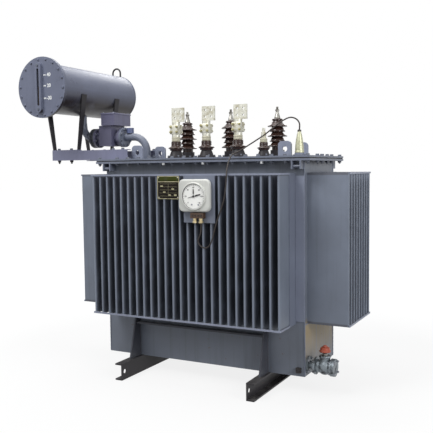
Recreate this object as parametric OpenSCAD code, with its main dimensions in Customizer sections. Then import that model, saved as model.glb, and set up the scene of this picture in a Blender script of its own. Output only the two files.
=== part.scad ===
// Oil-immersed distribution transformer with corrugated cooling fins and an oil conservator.
// All lengths are in millimetres. X runs along the long side, the front faces -Y, Z is up.
// The origin is on the floor, in the middle of the four fixing holes of the base.

/* [Base] */
// Distance between the backs of the two base channels
base_gauge = 820; // [660:10:1070]
// Length of each base channel
channel_length = 964; // [860:2:1200]
// Height of a base channel
channel_height = 100; // [80:1:140]
// Flange width of a base channel
channel_flange_width = 48; // [44:1:60]
// Web thickness of a base channel
channel_web = 5.3; // [4:0.1:8]
// Flange thickness of a base channel
channel_flange = 8.5; // [6:0.1:11]
// Diameter of the towing holes in the webs
tow_hole_diameter = 27; // [20:1:40]
// Distance from the ends of the channels to the towing holes
tow_hole_inset = 32; // [24:1:60]
// Distance between the fixing holes along each channel
fixing_spacing = 820; // [660:10:850]
// Diameter of the fixing holes in the lower flanges
fixing_hole_diameter = 22; // [14:1:26]
// Distance of the fixing holes from the back of the web
fixing_hole_offset = 28; // [24:1:34]

/* [Tank] */
// Length of the tank
tank_length = 1320; // [1250:10:1500]
// Width of the tank
tank_width = 494; // [450:2:600]
// Height of the tank from the channels to its top edge
tank_height = 1211; // [1150:1:1400]
// Overhang of the bolted rim around the tank
rim_overhang = 50; // [40:1:70]
// Thickness of the rim
rim_thickness = 12; // [8:1:16]
// Thickness of the cover gasket
gasket_thickness = 6; // [4:1:10]
// Distance of the gasket from the edge of the rim
gasket_inset = 3; // [1:1:8]
// Thickness of the cover plate
cover_thickness = 10; // [6:1:16]
// Width of the strips on the tank's corners
corner_strip_width = 50; // [30:1:56]
// Thickness of the strips on the tank's corners
corner_strip_thickness = 5; // [3:1:8]
// Depth of the flat cheeks at the ends of the long fin banks
cheek_depth = 93; // [60:1:120]
// Thickness of the cheeks
cheek_thickness = 3; // [2:0.5:4]
// Thickness of a gusset above a channel
gusset_thickness = 10; // [6:1:16]
// Depth of a gusset at its foot
gusset_foot_depth = 113; // [80:1:140]
// Depth of a gusset at its top
gusset_top_depth = 35; // [20:1:70]
// Height of a gusset
gusset_height = 285; // [260:1:292]
// Thickness of the stiffeners between the gussets
stiffener_thickness = 10; // [6:1:16]
// Depth of the stiffeners
stiffener_depth = 45; // [30:1:50]
// Height of the stiffeners' upper faces above the tank's bottom
stiffener_height = 218; // [180:1:240]

/* [Cooling fins] */
// Distance of the outermost front and rear fins from the tank's ends
long_fin_margin = 60; // [58:1:80]
// Distance of the outermost end fins from the tank's long sides
end_fin_margin = 47; // [30:1:70]
// Number of fins on the front and on the rear
long_fin_count = 25; // [15:2:25]
// Number of fins on each end
end_fin_count = 9; // [5:2:9]
// Thickness of a fin
fin_thickness = 12; // [8:1:18]
// Depth of the fins on the front and on the rear
long_fin_depth = 226; // [150:2:300]
// Depth of the fins on the ends
end_fin_depth = 239; // [150:1:300]
// Distance of the fins' tops below the tank's upper edge
fin_top_gap = 78; // [60:1:120]
// Height of the fins' lower ends above the tank's bottom
fin_base_height = 293; // [280:1:320]
// Chamfer on the outer edges of the fins
fin_chamfer = 3; // [1:0.5:5]
// Thickness of the tie bars along the fins' outer edges
tie_bar_thickness = 5; // [3:1:8]
// Height of the tie bars
tie_bar_height = 10; // [6:1:20]

/* [High-voltage bushings] */
// Gap between the first high-voltage clamp and the lifting lugs, along the tank
hv_left_lug_gap = 130; // [60:1:160]
// Gap between the last high-voltage clamp and the lifting lugs, along the tank
hv_lug_gap = 50; // [30:1:70]
// Distance of the high-voltage row behind the tank's middle
hv_row = 110; // [90:5:130]
// Diameter of a large shed
hv_shed_diameter = 120; // [100:1:130]
// Diameter of a small shed
hv_small_shed_diameter = 96; // [84:1:110]
// Diameter of the porcelain core
hv_core_diameter = 56; // [50:1:76]
// Distance from one shed to the next
hv_shed_pitch = 30; // [26:1:36]
// Number of sheds
hv_shed_count = 5; // [3:2:7]
// Thickness of a shed at its outer edge
hv_shed_edge = 6; // [4:1:10]
// Thickness of a shed at the core
hv_shed_root = 22; // [14:1:24]
// Height of the porcelain above its clamp
hv_neck_height = 20; // [6:1:24]
// Diameter of the insulator's head under the cap
hv_head_diameter = 66; // [58:1:80]
// Height of the insulator's head under the cap
hv_head_height = 12; // [6:1:16]
// Diameter of the metal cap
hv_cap_diameter = 36; // [30:1:50]
// Height of the metal cap
hv_cap_height = 44; // [36:1:60]
// Diameter of the terminal stud
hv_stud_diameter = 14; // [12:1:20]
// Length of the terminal stud above the cap
hv_stud_length = 28; // [24:1:60]

/* [Low-voltage bushings] */
// Distance of the low-voltage row in front of the tank's middle
lv_row = 120; // [100:5:140]
// Gap between the neutral bushing's clamp and the lifting lugs
neutral_lug_gap = 43; // [20:1:60]
// Diameter of the porcelain shed
lv_shed_diameter = 97; // [80:1:110]
// Height of the porcelain shed
lv_shed_height = 25; // [18:1:40]
// Diameter of the porcelain collar above the shed
lv_collar_diameter = 62; // [56:1:80]
// Height of the porcelain collar
lv_collar_height = 31; // [24:1:50]
// Diameter of the pale insulating washer
lv_washer_diameter = 54; // [50:1:60]
// Height of the pale insulating washer
lv_washer_height = 28; // [20:1:40]
// Diameter of the terminal's clamp
lv_clamp_diameter = 50; // [40:1:58]
// Height of the terminal's clamp
lv_clamp_height = 92; // [70:1:100]
// Width and height of the terminal's flag plate
flag_size = 86; // [70:1:100]
// Thickness of the flag plate
flag_thickness = 12; // [8:1:16]
// Sideways offset of the flag plate from the bushing's axis
flag_offset = 16; // [0:1:20]
// Distance between the holes of the flag plate
flag_hole_spacing = 40; // [30:1:50]
// Diameter of the holes of the flag plate
flag_hole_diameter = 14; // [10:1:18]
// Diameter of the neutral terminal stud
neutral_stud_diameter = 18; // [12:1:24]
// Length of the neutral terminal stud
neutral_stud_length = 36; // [20:1:50]
// Height of the neutral terminal's clamp
neutral_clamp_height = 24; // [16:1:40]
// Diameter of the neutral bushing's clamp
neutral_clamp_diameter = 30; // [26:1:40]

/* [Bushing clamps] */
// Diameter of a bushing's clamp ring
clamp_diameter = 116; // [100:1:120]
// Height of a high-voltage clamp ring
hv_clamp_height = 43; // [30:1:50]
// Height of a low-voltage clamp ring
lv_clamp_ring_height = 47; // [30:1:50]
// Diameter of a low-voltage clamp ring
lv_clamp_ring_diameter = 90; // [70:1:100]
// Thickness of the flange under a clamp ring
clamp_flange = 10; // [6:1:14]

/* [Cover fittings] */
// Distance of the lifting lugs from the tank's ends
lug_inset = 157; // [140:1:180]
// Distance of the lifting lugs from the tank's middle, across the tank
lug_row = 135; // [120:5:180]
// Width of a lifting lug
lug_width = 80; // [60:1:100]
// Thickness of a lifting lug
lug_thickness = 14; // [10:1:20]
// Height of a lifting lug's hole above the cover
lug_hole_height = 41; // [32:1:54]
// Diameter of a lifting lug's hole
lug_hole_diameter = 32; // [24:1:40]
// Height of a lifting lug
lug_height = 86; // [80:1:110]
// Radius of a lifting lug's upper corners
lug_corner = 24; // [10:1:28]
// Gap between a lifting lug and the thermometer pocket
pocket_lug_gap = 21; // [10:1:40]
// Distance of the thermometer pocket in front of the tank's middle
pocket_row = 140; // [120:1:160]
// Diameter of the thermometer pocket's foot
pocket_diameter = 56; // [40:1:58]
// Height of the thermometer pocket
pocket_height = 146; // [120:1:160]
// Distance of the tank's lifting hooks from its ends
hook_inset = 30; // [29:1:50]
// Width of a lifting hook
hook_width = 58; // [40:1:60]
// Height of a lifting hook
hook_height = 46; // [36:1:60]
// Thickness of a lifting hook's cheeks
hook_cheek = 8; // [6:1:14]
// Diameter of a lifting hook's bar
hook_bar_diameter = 16; // [12:1:20]

/* [Dial thermometer] */
// Distance of the dial thermometer from the tank's middle
dial_position = 134; // [100:2:150]
// Distance of the dial thermometer's lower edge below the fins' tops
dial_drop = 209; // [200:1:300]
// Width of the dial case
dial_case_width = 196; // [160:2:200]
// Height of the dial case
dial_case_height = 180; // [150:2:190]
// Depth of the dial case
dial_case_depth = 30; // [24:1:60]
// Distance of the dial case's middle to the left of the mounting plate's middle
dial_case_offset = 17; // [0:1:20]
// Corner radius of the dial case
dial_case_radius = 28; // [10:1:40]
// Thickness of the dial's mounting plate
bracket_thickness = 5; // [3:1:8]
// Reach of the mounting plate above the dial case
bracket_reach_above = 20; // [20:1:24]
// Reach of the mounting plate below the dial case
bracket_reach_below = 61; // [40:1:90]
// Width of the thermometer's terminal block
block_width = 81; // [60:1:100]
// Height of the thermometer's terminal block
block_height = 31; // [20:1:40]
// Depth of the thermometer's terminal block
block_depth = 28; // [26:1:50]
// Gap between the dial case and the terminal block
block_gap = 4; // [1:1:8]
// Diameter of a cable gland
gland_diameter = 22; // [16:1:26]
// Length of a cable gland
gland_length = 26; // [16:1:30]
// Distance between the cable glands
gland_spacing = 38; // [30:1:50]
// Outer diameter of the capillary tube
capillary_diameter = 8; // [5:0.5:10]

/* [Nameplate and earth terminal] */
// Width of the nameplate
plate_width = 143; // [100:1:150]
// Height of the nameplate
plate_height = 130; // [100:1:140]
// Distance of the nameplate's upper edge below the fins' tops
plate_drop = 11; // [10:1:20]
// Thickness of the nameplate
plate_thickness = 3; // [2:0.5:6]
// Distance of the nameplate from the tank's middle
plate_position = -68; // [-120:1:-60]
// Width of the earth terminal
earth_size = 28; // [20:1:36]
// Depth of the earth terminal
earth_depth = 16; // [10:1:24]
// Height of the earth terminal above the tank's bottom
earth_height = 36; // [30:1:60]
// Distance of the earth terminal from the tank's corner
earth_inset = 34; // [26:1:60]

/* [Conservator] */
// Distance of the conservator's axis beyond the cover's end
conservator_reach = 329; // [300:1:360]
// Height of the conservator's axis above the cover
conservator_height = 460; // [420:1:500]
// Outer diameter of the conservator
drum_diameter = 316; // [280:2:340]
// Thickness of the conservator's shell
drum_wall = 5; // [3:1:8]
// Length of the conservator over its ends
drum_length = 820; // [700:10:900]
// Diameter of the bolted front cover
end_cover_diameter = 384; // [350:2:400]
// Thickness of the front cover
end_cover_thickness = 12; // [8:1:16]
// Thickness of the flange behind the front cover
drum_flange_thickness = 10; // [8:1:14]
// Thickness of the rear end
rear_end_thickness = 6; // [4:1:10]
// Width of the level gauge
gauge_width = 46; // [36:1:60]
// Height of the level gauge
gauge_height = 316; // [260:2:330]
// Depth of the level gauge
gauge_depth = 20; // [12:1:30]
// Width of the level gauge's glass
gauge_glass_width = 18; // [10:1:24]
// Sideways offset of the level gauge
gauge_offset = -12; // [-20:1:0]
// Distance of the lifting hoop from the rear end
hoop_inset = 12; // [8:1:200]
// Width of the lifting hoop
hoop_width = 78; // [60:1:90]
// Height of the lifting hoop
hoop_height = 62; // [50:1:80]
// Bar diameter of the lifting hoop
hoop_bar_diameter = 12; // [8:1:16]

/* [Conservator support] */
// Clear distance between the rails
rail_gap = 320; // [280:5:360]
// Height of a rail
rail_height = 63; // [50:1:80]
// Width of a rail
rail_width = 40; // [36:1:50]
// Wall thickness of a rail
rail_wall = 5; // [4:0.5:7]
// Overhang of the rails beyond the cover's end
rail_overhang = 437; // [430:1:520]
// Length of a rail
rail_length = 609; // [580:1:700]
// Width of a support leg at its top
leg_width = 50; // [40:1:60]
// Width of a support leg at its foot
leg_foot_width = 26; // [20:1:36]
// Thickness of a support leg
leg_thickness = 10; // [8:1:14]
// Distance over the legs at the rails
leg_foot_spacing = 214; // [190:1:260]
// Distance over the legs at the conservator
leg_top_spacing = 320; // [316:1:332]
// Drop of the legs' tops below the conservator's axis
leg_top_drop = 32; // [20:1:60]
// Thickness of the foot plate under the legs
foot_plate_thickness = 6; // [4:1:10]

/* [Oil pipe and relay] */
// Height of the oil pipe's axis above the cover
pipe_height = 149; // [130:1:170]
// Outer diameter of the oil pipe
pipe_diameter = 48; // [40:1:60]
// Bend radius below the conservator
upper_bend = 94; // [60:1:104]
// Bend radius above the cover
lower_bend = 100; // [80:1:110]
// Distance of the oil pipe's foot from the cover's end
pipe_foot_inset = 189; // [170:1:200]
// Diameter of the pipe flanges
pipe_flange_diameter = 130; // [110:1:140]
// Thickness of the pipe flanges
pipe_flange_thickness = 14; // [10:1:18]
// Diameter of the pipe's foot flange
pipe_foot_diameter = 118; // [100:1:120]
// Length of the shut-off valve
shut_off_length = 34; // [30:1:60]
// Diameter of the shut-off valve's body
shut_off_diameter = 104; // [90:1:120]
// Length of the gas relay between its flanges' faces
relay_length = 208; // [190:1:220]
// Diameter of the gas relay's barrel
relay_barrel_diameter = 96; // [80:1:110]
// Length of the gas relay's chamber
relay_chamber_length = 100; // [80:1:120]
// Width of the gas relay's chamber
relay_chamber_width = 150; // [120:1:170]
// Offset of the gas relay's chamber toward the transformer
relay_chamber_shift = 7; // [0:1:20]
// Depth of the gas relay's chamber below the pipe's axis
relay_chamber_drop = 56; // [50:1:64]
// Height of the gas relay's chamber above the pipe's axis
relay_chamber_rise = 78; // [70:1:100]
// Length of the gas relay's head
relay_head_length = 105; // [90:1:120]
// Width of the gas relay's head
relay_head_width = 186; // [150:1:200]
// Height of the gas relay's head
relay_head_height = 78; // [60:1:90]
// Offset of the gas relay's head toward the transformer
relay_head_shift = 42; // [30:1:50]
// Distance of the vent cock from the lower bend of the oil pipe
cock_bend_gap = 29; // [20:1:40]
// Diameter of the vent cock's knob
cock_diameter = 48; // [36:1:54]
// Height of the vent cock's knob
cock_height = 34; // [24:1:40]

/* [Drain valve] */
// Distance of the drain valve from the tank's front
valve_inset = 57; // [51:1:80]
// Height of the drain valve's axis above the tank's bottom
valve_height = 57; // [52:1:80]
// Diameter of the drain valve's flanges
valve_flange_diameter = 98; // [80:1:102]
// Thickness of the drain valve's flanges
valve_flange_thickness = 10; // [8:1:14]
// Outer diameter of the drain pipe
drain_pipe_diameter = 42; // [34:1:48]
// Length of the drain pipe between the tank's flange and the valve
drain_pipe_length = 32; // [20:1:40]
// Diameter of the valve's body
valve_body_diameter = 72; // [60:1:78]
// Length of the valve's body
valve_body_length = 93; // [80:1:110]
// Diameter of the round belly in the middle of the valve's body
valve_belly_diameter = 90; // [76:1:96]
// Diameter of the valve's bonnet
bonnet_diameter = 58; // [40:1:66]
// Height of the bonnet above the drain valve's axis
bonnet_height = 62; // [56:1:80]
// Diameter of the packing nut
packing_nut_diameter = 26; // [20:1:34]
// Height of the packing nut
packing_nut_height = 14; // [10:1:20]
// Diameter of the valve's stem
stem_diameter = 12; // [8:1:16]
// Length of the stem above the packing nut
stem_length = 40; // [36:1:50]
// Thickness of the blind flange
blind_thickness = 14; // [10:1:18]
// Outer diameter of the handwheel
wheel_diameter = 64; // [58:1:90]
// Diameter of the handwheel's rim section
wheel_rim_diameter = 11; // [9:1:14]
// Diameter of the handwheel's hub
wheel_hub_diameter = 22; // [18:1:26]
// Height of the handwheel's hub
wheel_hub_height = 32; // [24:1:36]
// Gap between the packing nut and the handwheel
wheel_gap = 6; // [5:1:10]
// Diameter of the holes in the handwheel's dish
dish_hole_diameter = 8; // [5:1:9]
// Thickness of the handwheel's dish
dish_thickness = 5; // [4:1:6]
// Running clearance of the stem in the handwheel's bore, on the radius
stem_clearance = 0.05; // [0.02:0.01:0.1]

/* [Hidden] */
// Extra depth of cutting tools beyond the faces that they cut
cut = 2;
// Number of facets of round pieces
$fn = 64;
// Levels above the floor
tank_bottom = channel_height;
tank_top = tank_bottom + tank_height;
cover_bottom = tank_top + gasket_thickness;
cover_top = cover_bottom + cover_thickness;
fin_bottom = tank_bottom + fin_base_height;
fin_height = tank_height - fin_base_height - fin_top_gap;
fin_top = fin_bottom + fin_height;
rail_top = cover_top + rail_height;
rail_spacing = rail_gap + rail_width;
drum_axis = cover_top + conservator_height;
hook_bottom = tank_top - rim_thickness - hook_height;
pipe_axis = cover_top + pipe_height;
valve_axis = tank_bottom + valve_height;
// Half sizes
tank_x = tank_length / 2;
tank_y = tank_width / 2;
rim_x = tank_x + rim_overhang;
rim_y = tank_y + rim_overhang;
long_fin_tip = tank_y + long_fin_depth;
end_fin_tip = tank_x + end_fin_depth;
long_fin_pitch = (tank_length - long_fin_margin * 2) / (long_fin_count - 1);
end_fin_pitch = (tank_width - end_fin_margin * 2) / (end_fin_count - 1);
bank_end = tank_x - long_fin_margin + fin_thickness / 2;
// Share of the distance between the lifting lugs left free before the low-voltage row
lv_left_gap_share = 0.1819;
// Distance from the last low-voltage bushing to the neutral one, as a share of the row's spacing
neutral_spacing_share = 0.77;
// Stations of the cover's fittings along X and of the drain valve along Y
lug_x = tank_x - lug_inset;
pocket_x = lug_x + lug_width / 2 + pocket_lug_gap + pocket_diameter / 2;
lug_inner = lug_x - lug_width / 2;
lv_ring_radius = lv_clamp_ring_diameter / 2 + clamp_flange;
neutral_x = lug_inner - neutral_lug_gap - lv_ring_radius;
lv_left = -lug_inner + lug_x * 2 * lv_left_gap_share + lv_ring_radius;
lv_spacing = (neutral_x - lv_left) / (2 + neutral_spacing_share);
lv_middle = lv_left + lv_spacing;
hv_spacing = lug_inner - (hv_lug_gap + hv_left_lug_gap + clamp_diameter) / 2;
hv_middle = lug_inner - hv_lug_gap - clamp_diameter / 2 - hv_spacing;
hook_x = tank_x - hook_inset;
valve_row = tank_y - valve_inset;
gusset_x = base_gauge / 2 + channel_flange_width / 2;
drum_front = -drum_length / 2;
// Front planes of the pieces that hang on the front fins
bar_front = long_fin_tip + tie_bar_thickness;
bracket_front = bar_front + bracket_thickness;
// Heights of the dial thermometer's pieces
dial_bottom = fin_top - dial_drop;
block_top = dial_bottom - block_gap;
block_bottom = block_top - block_height;
gland_bottom = block_bottom - gland_length;
gland_y = -(bracket_front + block_depth / 2);
// Stations of the conservator and the oil pipe along X, from the conservator to the tank
conservator_offset = rim_x + conservator_reach;
pipe_foot_position = rim_x - pipe_foot_inset;
cock_position = pipe_foot_position + lower_bend + cock_bend_gap;
valve_start = -conservator_offset + upper_bend;
relay_start = valve_start + shut_off_length;
relay_end = relay_start + relay_length;
lower_pipe_start = relay_end + pipe_flange_thickness;
relay_middle = (relay_start + relay_end) / 2;
relay_head_bottom = pipe_axis + relay_chamber_rise;
// Stations of the drain valve along X, from the tank outward
drain_pipe_start = tank_x + valve_flange_thickness;
valve_body_start = drain_pipe_start + drain_pipe_length;
valve_body_end = valve_body_start + valve_body_length;
blind_start = valve_body_end + valve_flange_thickness;
stem_x = (valve_body_start + valve_body_end) / 2 + valve_flange_thickness;
packing_bottom = valve_axis + bonnet_height;
packing_top = packing_bottom + packing_nut_height;
wheel_bottom = packing_top + wheel_gap;
wheel_rim_radius = (wheel_diameter - wheel_rim_diameter) / 2;
wheel_hole_radius = (wheel_hub_diameter / 2 + wheel_rim_radius - wheel_rim_diameter / 2) / 2;
dish_shoulder_share = 0.78;
dish_shoulder_radius = wheel_diameter / 2 * dish_shoulder_share;
dish_shoulder_height = wheel_hub_height * dish_shoulder_share;
// Rise of the conservator's legs from the rails
leg_rise = drum_axis - rail_top - leg_top_drop;
// Heights of the low-voltage bushings' pieces
lv_porcelain_bottom = cover_top + lv_clamp_ring_height;
lv_collar_bottom = lv_porcelain_bottom + lv_shed_height;
lv_washer_bottom = lv_collar_bottom + lv_collar_height;
lv_clamp_bottom = lv_washer_bottom + lv_washer_height;
flag_bottom = lv_clamp_bottom + lv_clamp_height;
// Heights of the high-voltage bushings' pieces
hv_porcelain_bottom = cover_top + hv_clamp_height;
hv_porcelain_height = hv_neck_height * 2 + hv_shed_pitch * hv_shed_count;
hv_cap_bottom = hv_porcelain_bottom + hv_porcelain_height;
hv_stud_bottom = hv_cap_bottom + hv_cap_height;
// Share of the drop of a shed that its upper side takes
shed_slope_share = 0.7;
// Share of the cap's height that is straight
cap_straight_share = 0.2;
// Share of the stud's diameter that the cap's narrow end has
cap_shoulder_share = 1.2;
// Share of a low-voltage bushing's size that a phase bushing and the neutral bushing have
phase_size_share = 1;
neutral_size_share = 0.8;
neutral_clamp_bottom = cover_top + (lv_clamp_bottom - cover_top) * neutral_size_share;
// Shares of the pocket's height taken by its foot and its cone
pocket_foot_share = 0.12;
pocket_cone_share = 0.82;
// Shares of the pocket's foot diameter at the cone's ends
pocket_cone_share_low = 0.94;
pocket_cone_share_high = 0.32;
// Share of the fins' height left free above and below the corner strips
strip_margin_share = 0.02;
// Share of the level gauge's height taken by its glass
gauge_glass_share = 0.74;
// Sides of the capillary tube and samples between two of its route points
capillary_sides = 8;
capillary_samples = 3;
// Route of the capillary tube from the thermometer's gland to the pocket: each point is a number of
// small steps away from the gland, the fins' upper edge, the cover's edge or the pocket's tip
route_step = capillary_diameter / 8;
gland_x = dial_position + gland_spacing / 2;
pocket_tip = [pocket_x, -pocket_row, cover_top + pocket_height];
gland_tip = [gland_x, gland_y, gland_bottom];
fin_edge = [gland_x, -bar_front, fin_top];
cover_edge = [gland_x, -rim_y, cover_top];
capillary_route = [
    gland_tip,
    gland_tip + [-3, 0, -52] * route_step,
    gland_tip + [-21, 1, -99] * route_step,
    gland_tip + [-3, 3, -129] * route_step,
    gland_tip + [31, 3, -135] * route_step,
    gland_tip + [61, 5, -99] * route_step,
    gland_tip + [93, 8, 9] * route_step,
    gland_tip + [135, 10, 123] * route_step,
    fin_edge + [153, -14, -53] * route_step,
    fin_edge + [153, -4, 15] * route_step,
    fin_edge + [137, 53, 67] * route_step,
    cover_edge + [123, -58, 8] * route_step,
    cover_edge + [137, -8, 27] * route_step,
    cover_edge + [180, 17, 57] * route_step,
    pocket_tip + [-168, -110, -29] * route_step,
    pocket_tip + [-122, -82, 13] * route_step,
    pocket_tip + [-76, -56, 51] * route_step,
    pocket_tip + [-42, -32, 68] * route_step,
    pocket_tip + [-14, -12, 59] * route_step,
    pocket_tip + [0, 0, 35] * route_step,
    pocket_tip
];
// Colours
paint = [0.35, 0.38, 0.43];
dark_paint = [0.24, 0.26, 0.3];
porcelain = [0.24, 0.12, 0.08];
tinned = [0.72, 0.7, 0.62];
pale = [0.82, 0.82, 0.8];

// A block centred on X and Y, standing at a height
module block(size_x, size_y, size_z, x, y, z)
    translate([x - size_x / 2, y - size_y / 2, z])
        cube([size_x, size_y, size_z]);

// An upright cylinder standing at a height
module post(diameter, height, x, y, z)
    translate([x, y, z])
        cylinder(d = diameter, h = height);

// A cylinder along X that starts at a station
module barrel(diameter, length, x, y, z)
    translate([x, y, z])
        rotate([0, 90, 0])
            cylinder(d = diameter, h = length);

// A cylinder along Y that starts at a station
module drum(diameter, length, x, y, z)
    translate([x, y, z])
        rotate([-90, 0, 0])
            cylinder(d = diameter, h = length);

// The same piece on the right and on the left
module both_ends() {
    children();
    mirror([1, 0, 0])
        children();
}

// The same piece on the front and on the rear
module both_sides() {
    children();
    mirror([0, 1, 0])
        children();
}

module channel_right()
    difference() {
        translate([base_gauge / 2, channel_length / 2, 0])
            rotate([90, 0, 0])
                linear_extrude(height = channel_length)
                    difference() {
                        square([channel_flange_width, channel_height]);
                        translate([channel_web, channel_flange])
                            square([channel_flange_width, channel_height - channel_flange * 2]);
                    }
        both_sides()
            barrel(tow_hole_diameter, channel_web + cut * 2, base_gauge / 2 - cut,
                channel_length / 2 - tow_hole_inset, channel_height / 2);
        both_sides()
            post(fixing_hole_diameter, channel_flange + cut * 2, base_gauge / 2 + fixing_hole_offset,
                fixing_spacing / 2, -cut);
    }

module base_channel_right()
    color(dark_paint)
        channel_right();

module base_channel_left()
    color(dark_paint)
        mirror([1, 0, 0])
            channel_right();

module tank_body()
    color(paint)
        block(tank_length, tank_width, tank_height, 0, 0, tank_bottom);

module corner_strips()
    color(paint)
        both_sides()
            both_ends()
                block(corner_strip_width, corner_strip_thickness, fin_height * (1 - strip_margin_share * 2),
                    tank_x - corner_strip_width / 2, -tank_y - corner_strip_thickness / 2,
                    fin_bottom + fin_height * strip_margin_share);

module fin_cheeks()
    color(paint)
        both_sides()
            both_ends()
                block(cheek_thickness, cheek_depth, fin_height, bank_end + cheek_thickness / 2,
                    -tank_y - cheek_depth / 2, fin_bottom);

// One upright fin that stands out along +X from a wall at X = 0
module fin(depth)
    linear_extrude(height = fin_height)
        polygon([
            [0, -fin_thickness / 2],
            [depth - fin_chamfer, -fin_thickness / 2],
            [depth, fin_chamfer - fin_thickness / 2],
            [depth, fin_thickness / 2 - fin_chamfer],
            [depth - fin_chamfer, fin_thickness / 2],
            [0, fin_thickness / 2]
        ]);

module long_bank()
    for (i = [0 : long_fin_count - 1])
        translate([(i - (long_fin_count - 1) / 2) * long_fin_pitch, -tank_y, fin_bottom])
            rotate([0, 0, -90])
                fin(long_fin_depth);

module end_bank()
    for (i = [0 : end_fin_count - 1])
        translate([tank_x, (i - (end_fin_count - 1) / 2) * end_fin_pitch, fin_bottom])
            fin(end_fin_depth);

module front_fin_bank()
    color(paint)
        long_bank();

module rear_fin_bank()
    color(paint)
        mirror([0, 1, 0])
            long_bank();

module right_fin_bank()
    color(paint)
        end_bank();

module left_fin_bank()
    color(paint)
        mirror([1, 0, 0])
            end_bank();

// Bars along the outer edges of the fins, wrapped round the ends of the long banks
module tie_bars()
    color(paint)
        for (level = [fin_bottom, fin_top - tie_bar_height]) {
            both_sides() {
                block((bank_end + tie_bar_thickness) * 2, tie_bar_thickness, tie_bar_height,
                    0, -long_fin_tip - tie_bar_thickness / 2, level);
                both_ends()
                    block(tie_bar_thickness, long_fin_depth - cheek_depth, tie_bar_height,
                        bank_end + tie_bar_thickness / 2, -long_fin_tip + (long_fin_depth - cheek_depth) / 2,
                        level);
            }
            both_ends()
                block(tie_bar_thickness, tank_width - end_fin_margin * 2 + fin_thickness, tie_bar_height,
                    end_fin_tip + tie_bar_thickness / 2, 0, level);
        }

module gussets()
    color(paint)
        both_sides()
            both_ends()
                translate([gusset_x - gusset_thickness / 2, -tank_y, tank_bottom])
                    rotate([90, 0, 90])
                        linear_extrude(height = gusset_thickness)
                            polygon([
                                [0, 0],
                                [-gusset_foot_depth, 0],
                                [-gusset_top_depth, gusset_height],
                                [0, gusset_height]
                            ]);

module stiffeners()
    color(paint)
        both_sides()
            block(gusset_x * 2 - gusset_thickness, stiffener_depth, stiffener_thickness, 0,
                -tank_y - stiffener_depth / 2, tank_bottom + stiffener_height - stiffener_thickness);

module tank_rim()
    color(paint)
        difference() {
            block(rim_x * 2, rim_y * 2, rim_thickness, 0, 0, tank_top - rim_thickness);
            block(tank_length, tank_width, rim_thickness + cut * 2, 0, 0, tank_top - rim_thickness - cut);
        }

module cover_gasket()
    color(dark_paint)
        difference() {
            block((rim_x - gasket_inset) * 2, (rim_y - gasket_inset) * 2, gasket_thickness, 0, 0, tank_top);
            block(tank_length, tank_width, gasket_thickness + cut * 2, 0, 0, tank_top - cut);
        }

module cover_plate()
    color(paint)
        block(rim_x * 2, rim_y * 2, cover_thickness, 0, 0, cover_bottom);

// A lifting lug without its hole: a plate with two rounded upper corners
module lug_plate() {
    block(lug_width, lug_thickness, lug_height - lug_corner, lug_x, -lug_row, cover_top);
    block(lug_width - lug_corner * 2, lug_thickness, lug_height, lug_x, -lug_row, cover_top);
    for (side = [-1, 1])
        drum(lug_corner * 2, lug_thickness, lug_x + side * (lug_width / 2 - lug_corner),
            -lug_row - lug_thickness / 2, cover_top + lug_height - lug_corner);
}

module cover_lifting_lugs()
    color(dark_paint)
        both_sides()
            both_ends()
                difference() {
                    lug_plate();
                    drum(lug_hole_diameter, lug_thickness + cut * 2, lug_x,
                        -lug_row - lug_thickness / 2 - cut, cover_top + lug_hole_height);
                }

// Two cheeks of each lifting hook, under the rim
module tank_lifting_hooks()
    color(paint)
        both_sides()
            both_ends()
                for (side = [-1, 1])
                    block(hook_cheek, rim_overhang, hook_height,
                        hook_x + side * (hook_width - hook_cheek) / 2, -tank_y - rim_overhang / 2,
                        hook_bottom);

// The bar between the cheeks of each lifting hook
module hook_bars()
    color(paint)
        both_sides()
            both_ends()
                barrel(hook_bar_diameter, hook_width - hook_cheek * 2,
                    hook_x - hook_width / 2 + hook_cheek,
                    -tank_y - rim_overhang + hook_bar_diameter, hook_bottom + hook_bar_diameter);

// Places a piece at each high-voltage bushing
module at_hv()
    for (i = [-1 : 1])
        translate([hv_middle + i * hv_spacing, hv_row, 0])
            children();

// Places a piece at each low-voltage bushing
module at_lv()
    for (i = [-1 : 1])
        translate([lv_middle + i * lv_spacing, -lv_row, 0])
            children();

module at_neutral()
    translate([neutral_x, -lv_row, 0])
        children();

module hv_clamps()
    color(dark_paint)
        at_hv() {
            post(clamp_diameter, clamp_flange, 0, 0, cover_top);
            post((clamp_diameter + hv_core_diameter) / 2, hv_clamp_height - clamp_flange, 0, 0,
                cover_top + clamp_flange);
        }

function shed_radius(i) = (i % 2 == 0 ? hv_shed_diameter : hv_small_shed_diameter) / 2;

module hv_porcelain()
    color(porcelain)
        at_hv() {
            post(hv_core_diameter, hv_porcelain_height, 0, 0, hv_porcelain_bottom);
            post(hv_head_diameter, hv_head_height, 0, 0, hv_cap_bottom - hv_head_height);
            for (i = [0 : hv_shed_count - 1])
                translate([0, 0, hv_porcelain_bottom + hv_neck_height + i * hv_shed_pitch])
                    rotate_extrude()
                        polygon([
                            [0, 0],
                            [hv_core_diameter / 2, hv_shed_root * (1 - shed_slope_share)],
                            [shed_radius(i), 0],
                            [shed_radius(i), hv_shed_edge],
                            [hv_core_diameter / 2, hv_shed_root],
                            [0, hv_shed_root]
                        ]);
        }

module hv_terminals()
    color(tinned)
        at_hv() {
            post(hv_cap_diameter, hv_cap_height * cap_straight_share, 0, 0, hv_cap_bottom);
            translate([0, 0, hv_cap_bottom + hv_cap_height * cap_straight_share])
                cylinder(d1 = hv_cap_diameter, d2 = hv_stud_diameter * cap_shoulder_share,
                    h = hv_cap_height * (1 - cap_straight_share));
            post(hv_stud_diameter, hv_stud_length, 0, 0, hv_stud_bottom);
        }

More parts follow.
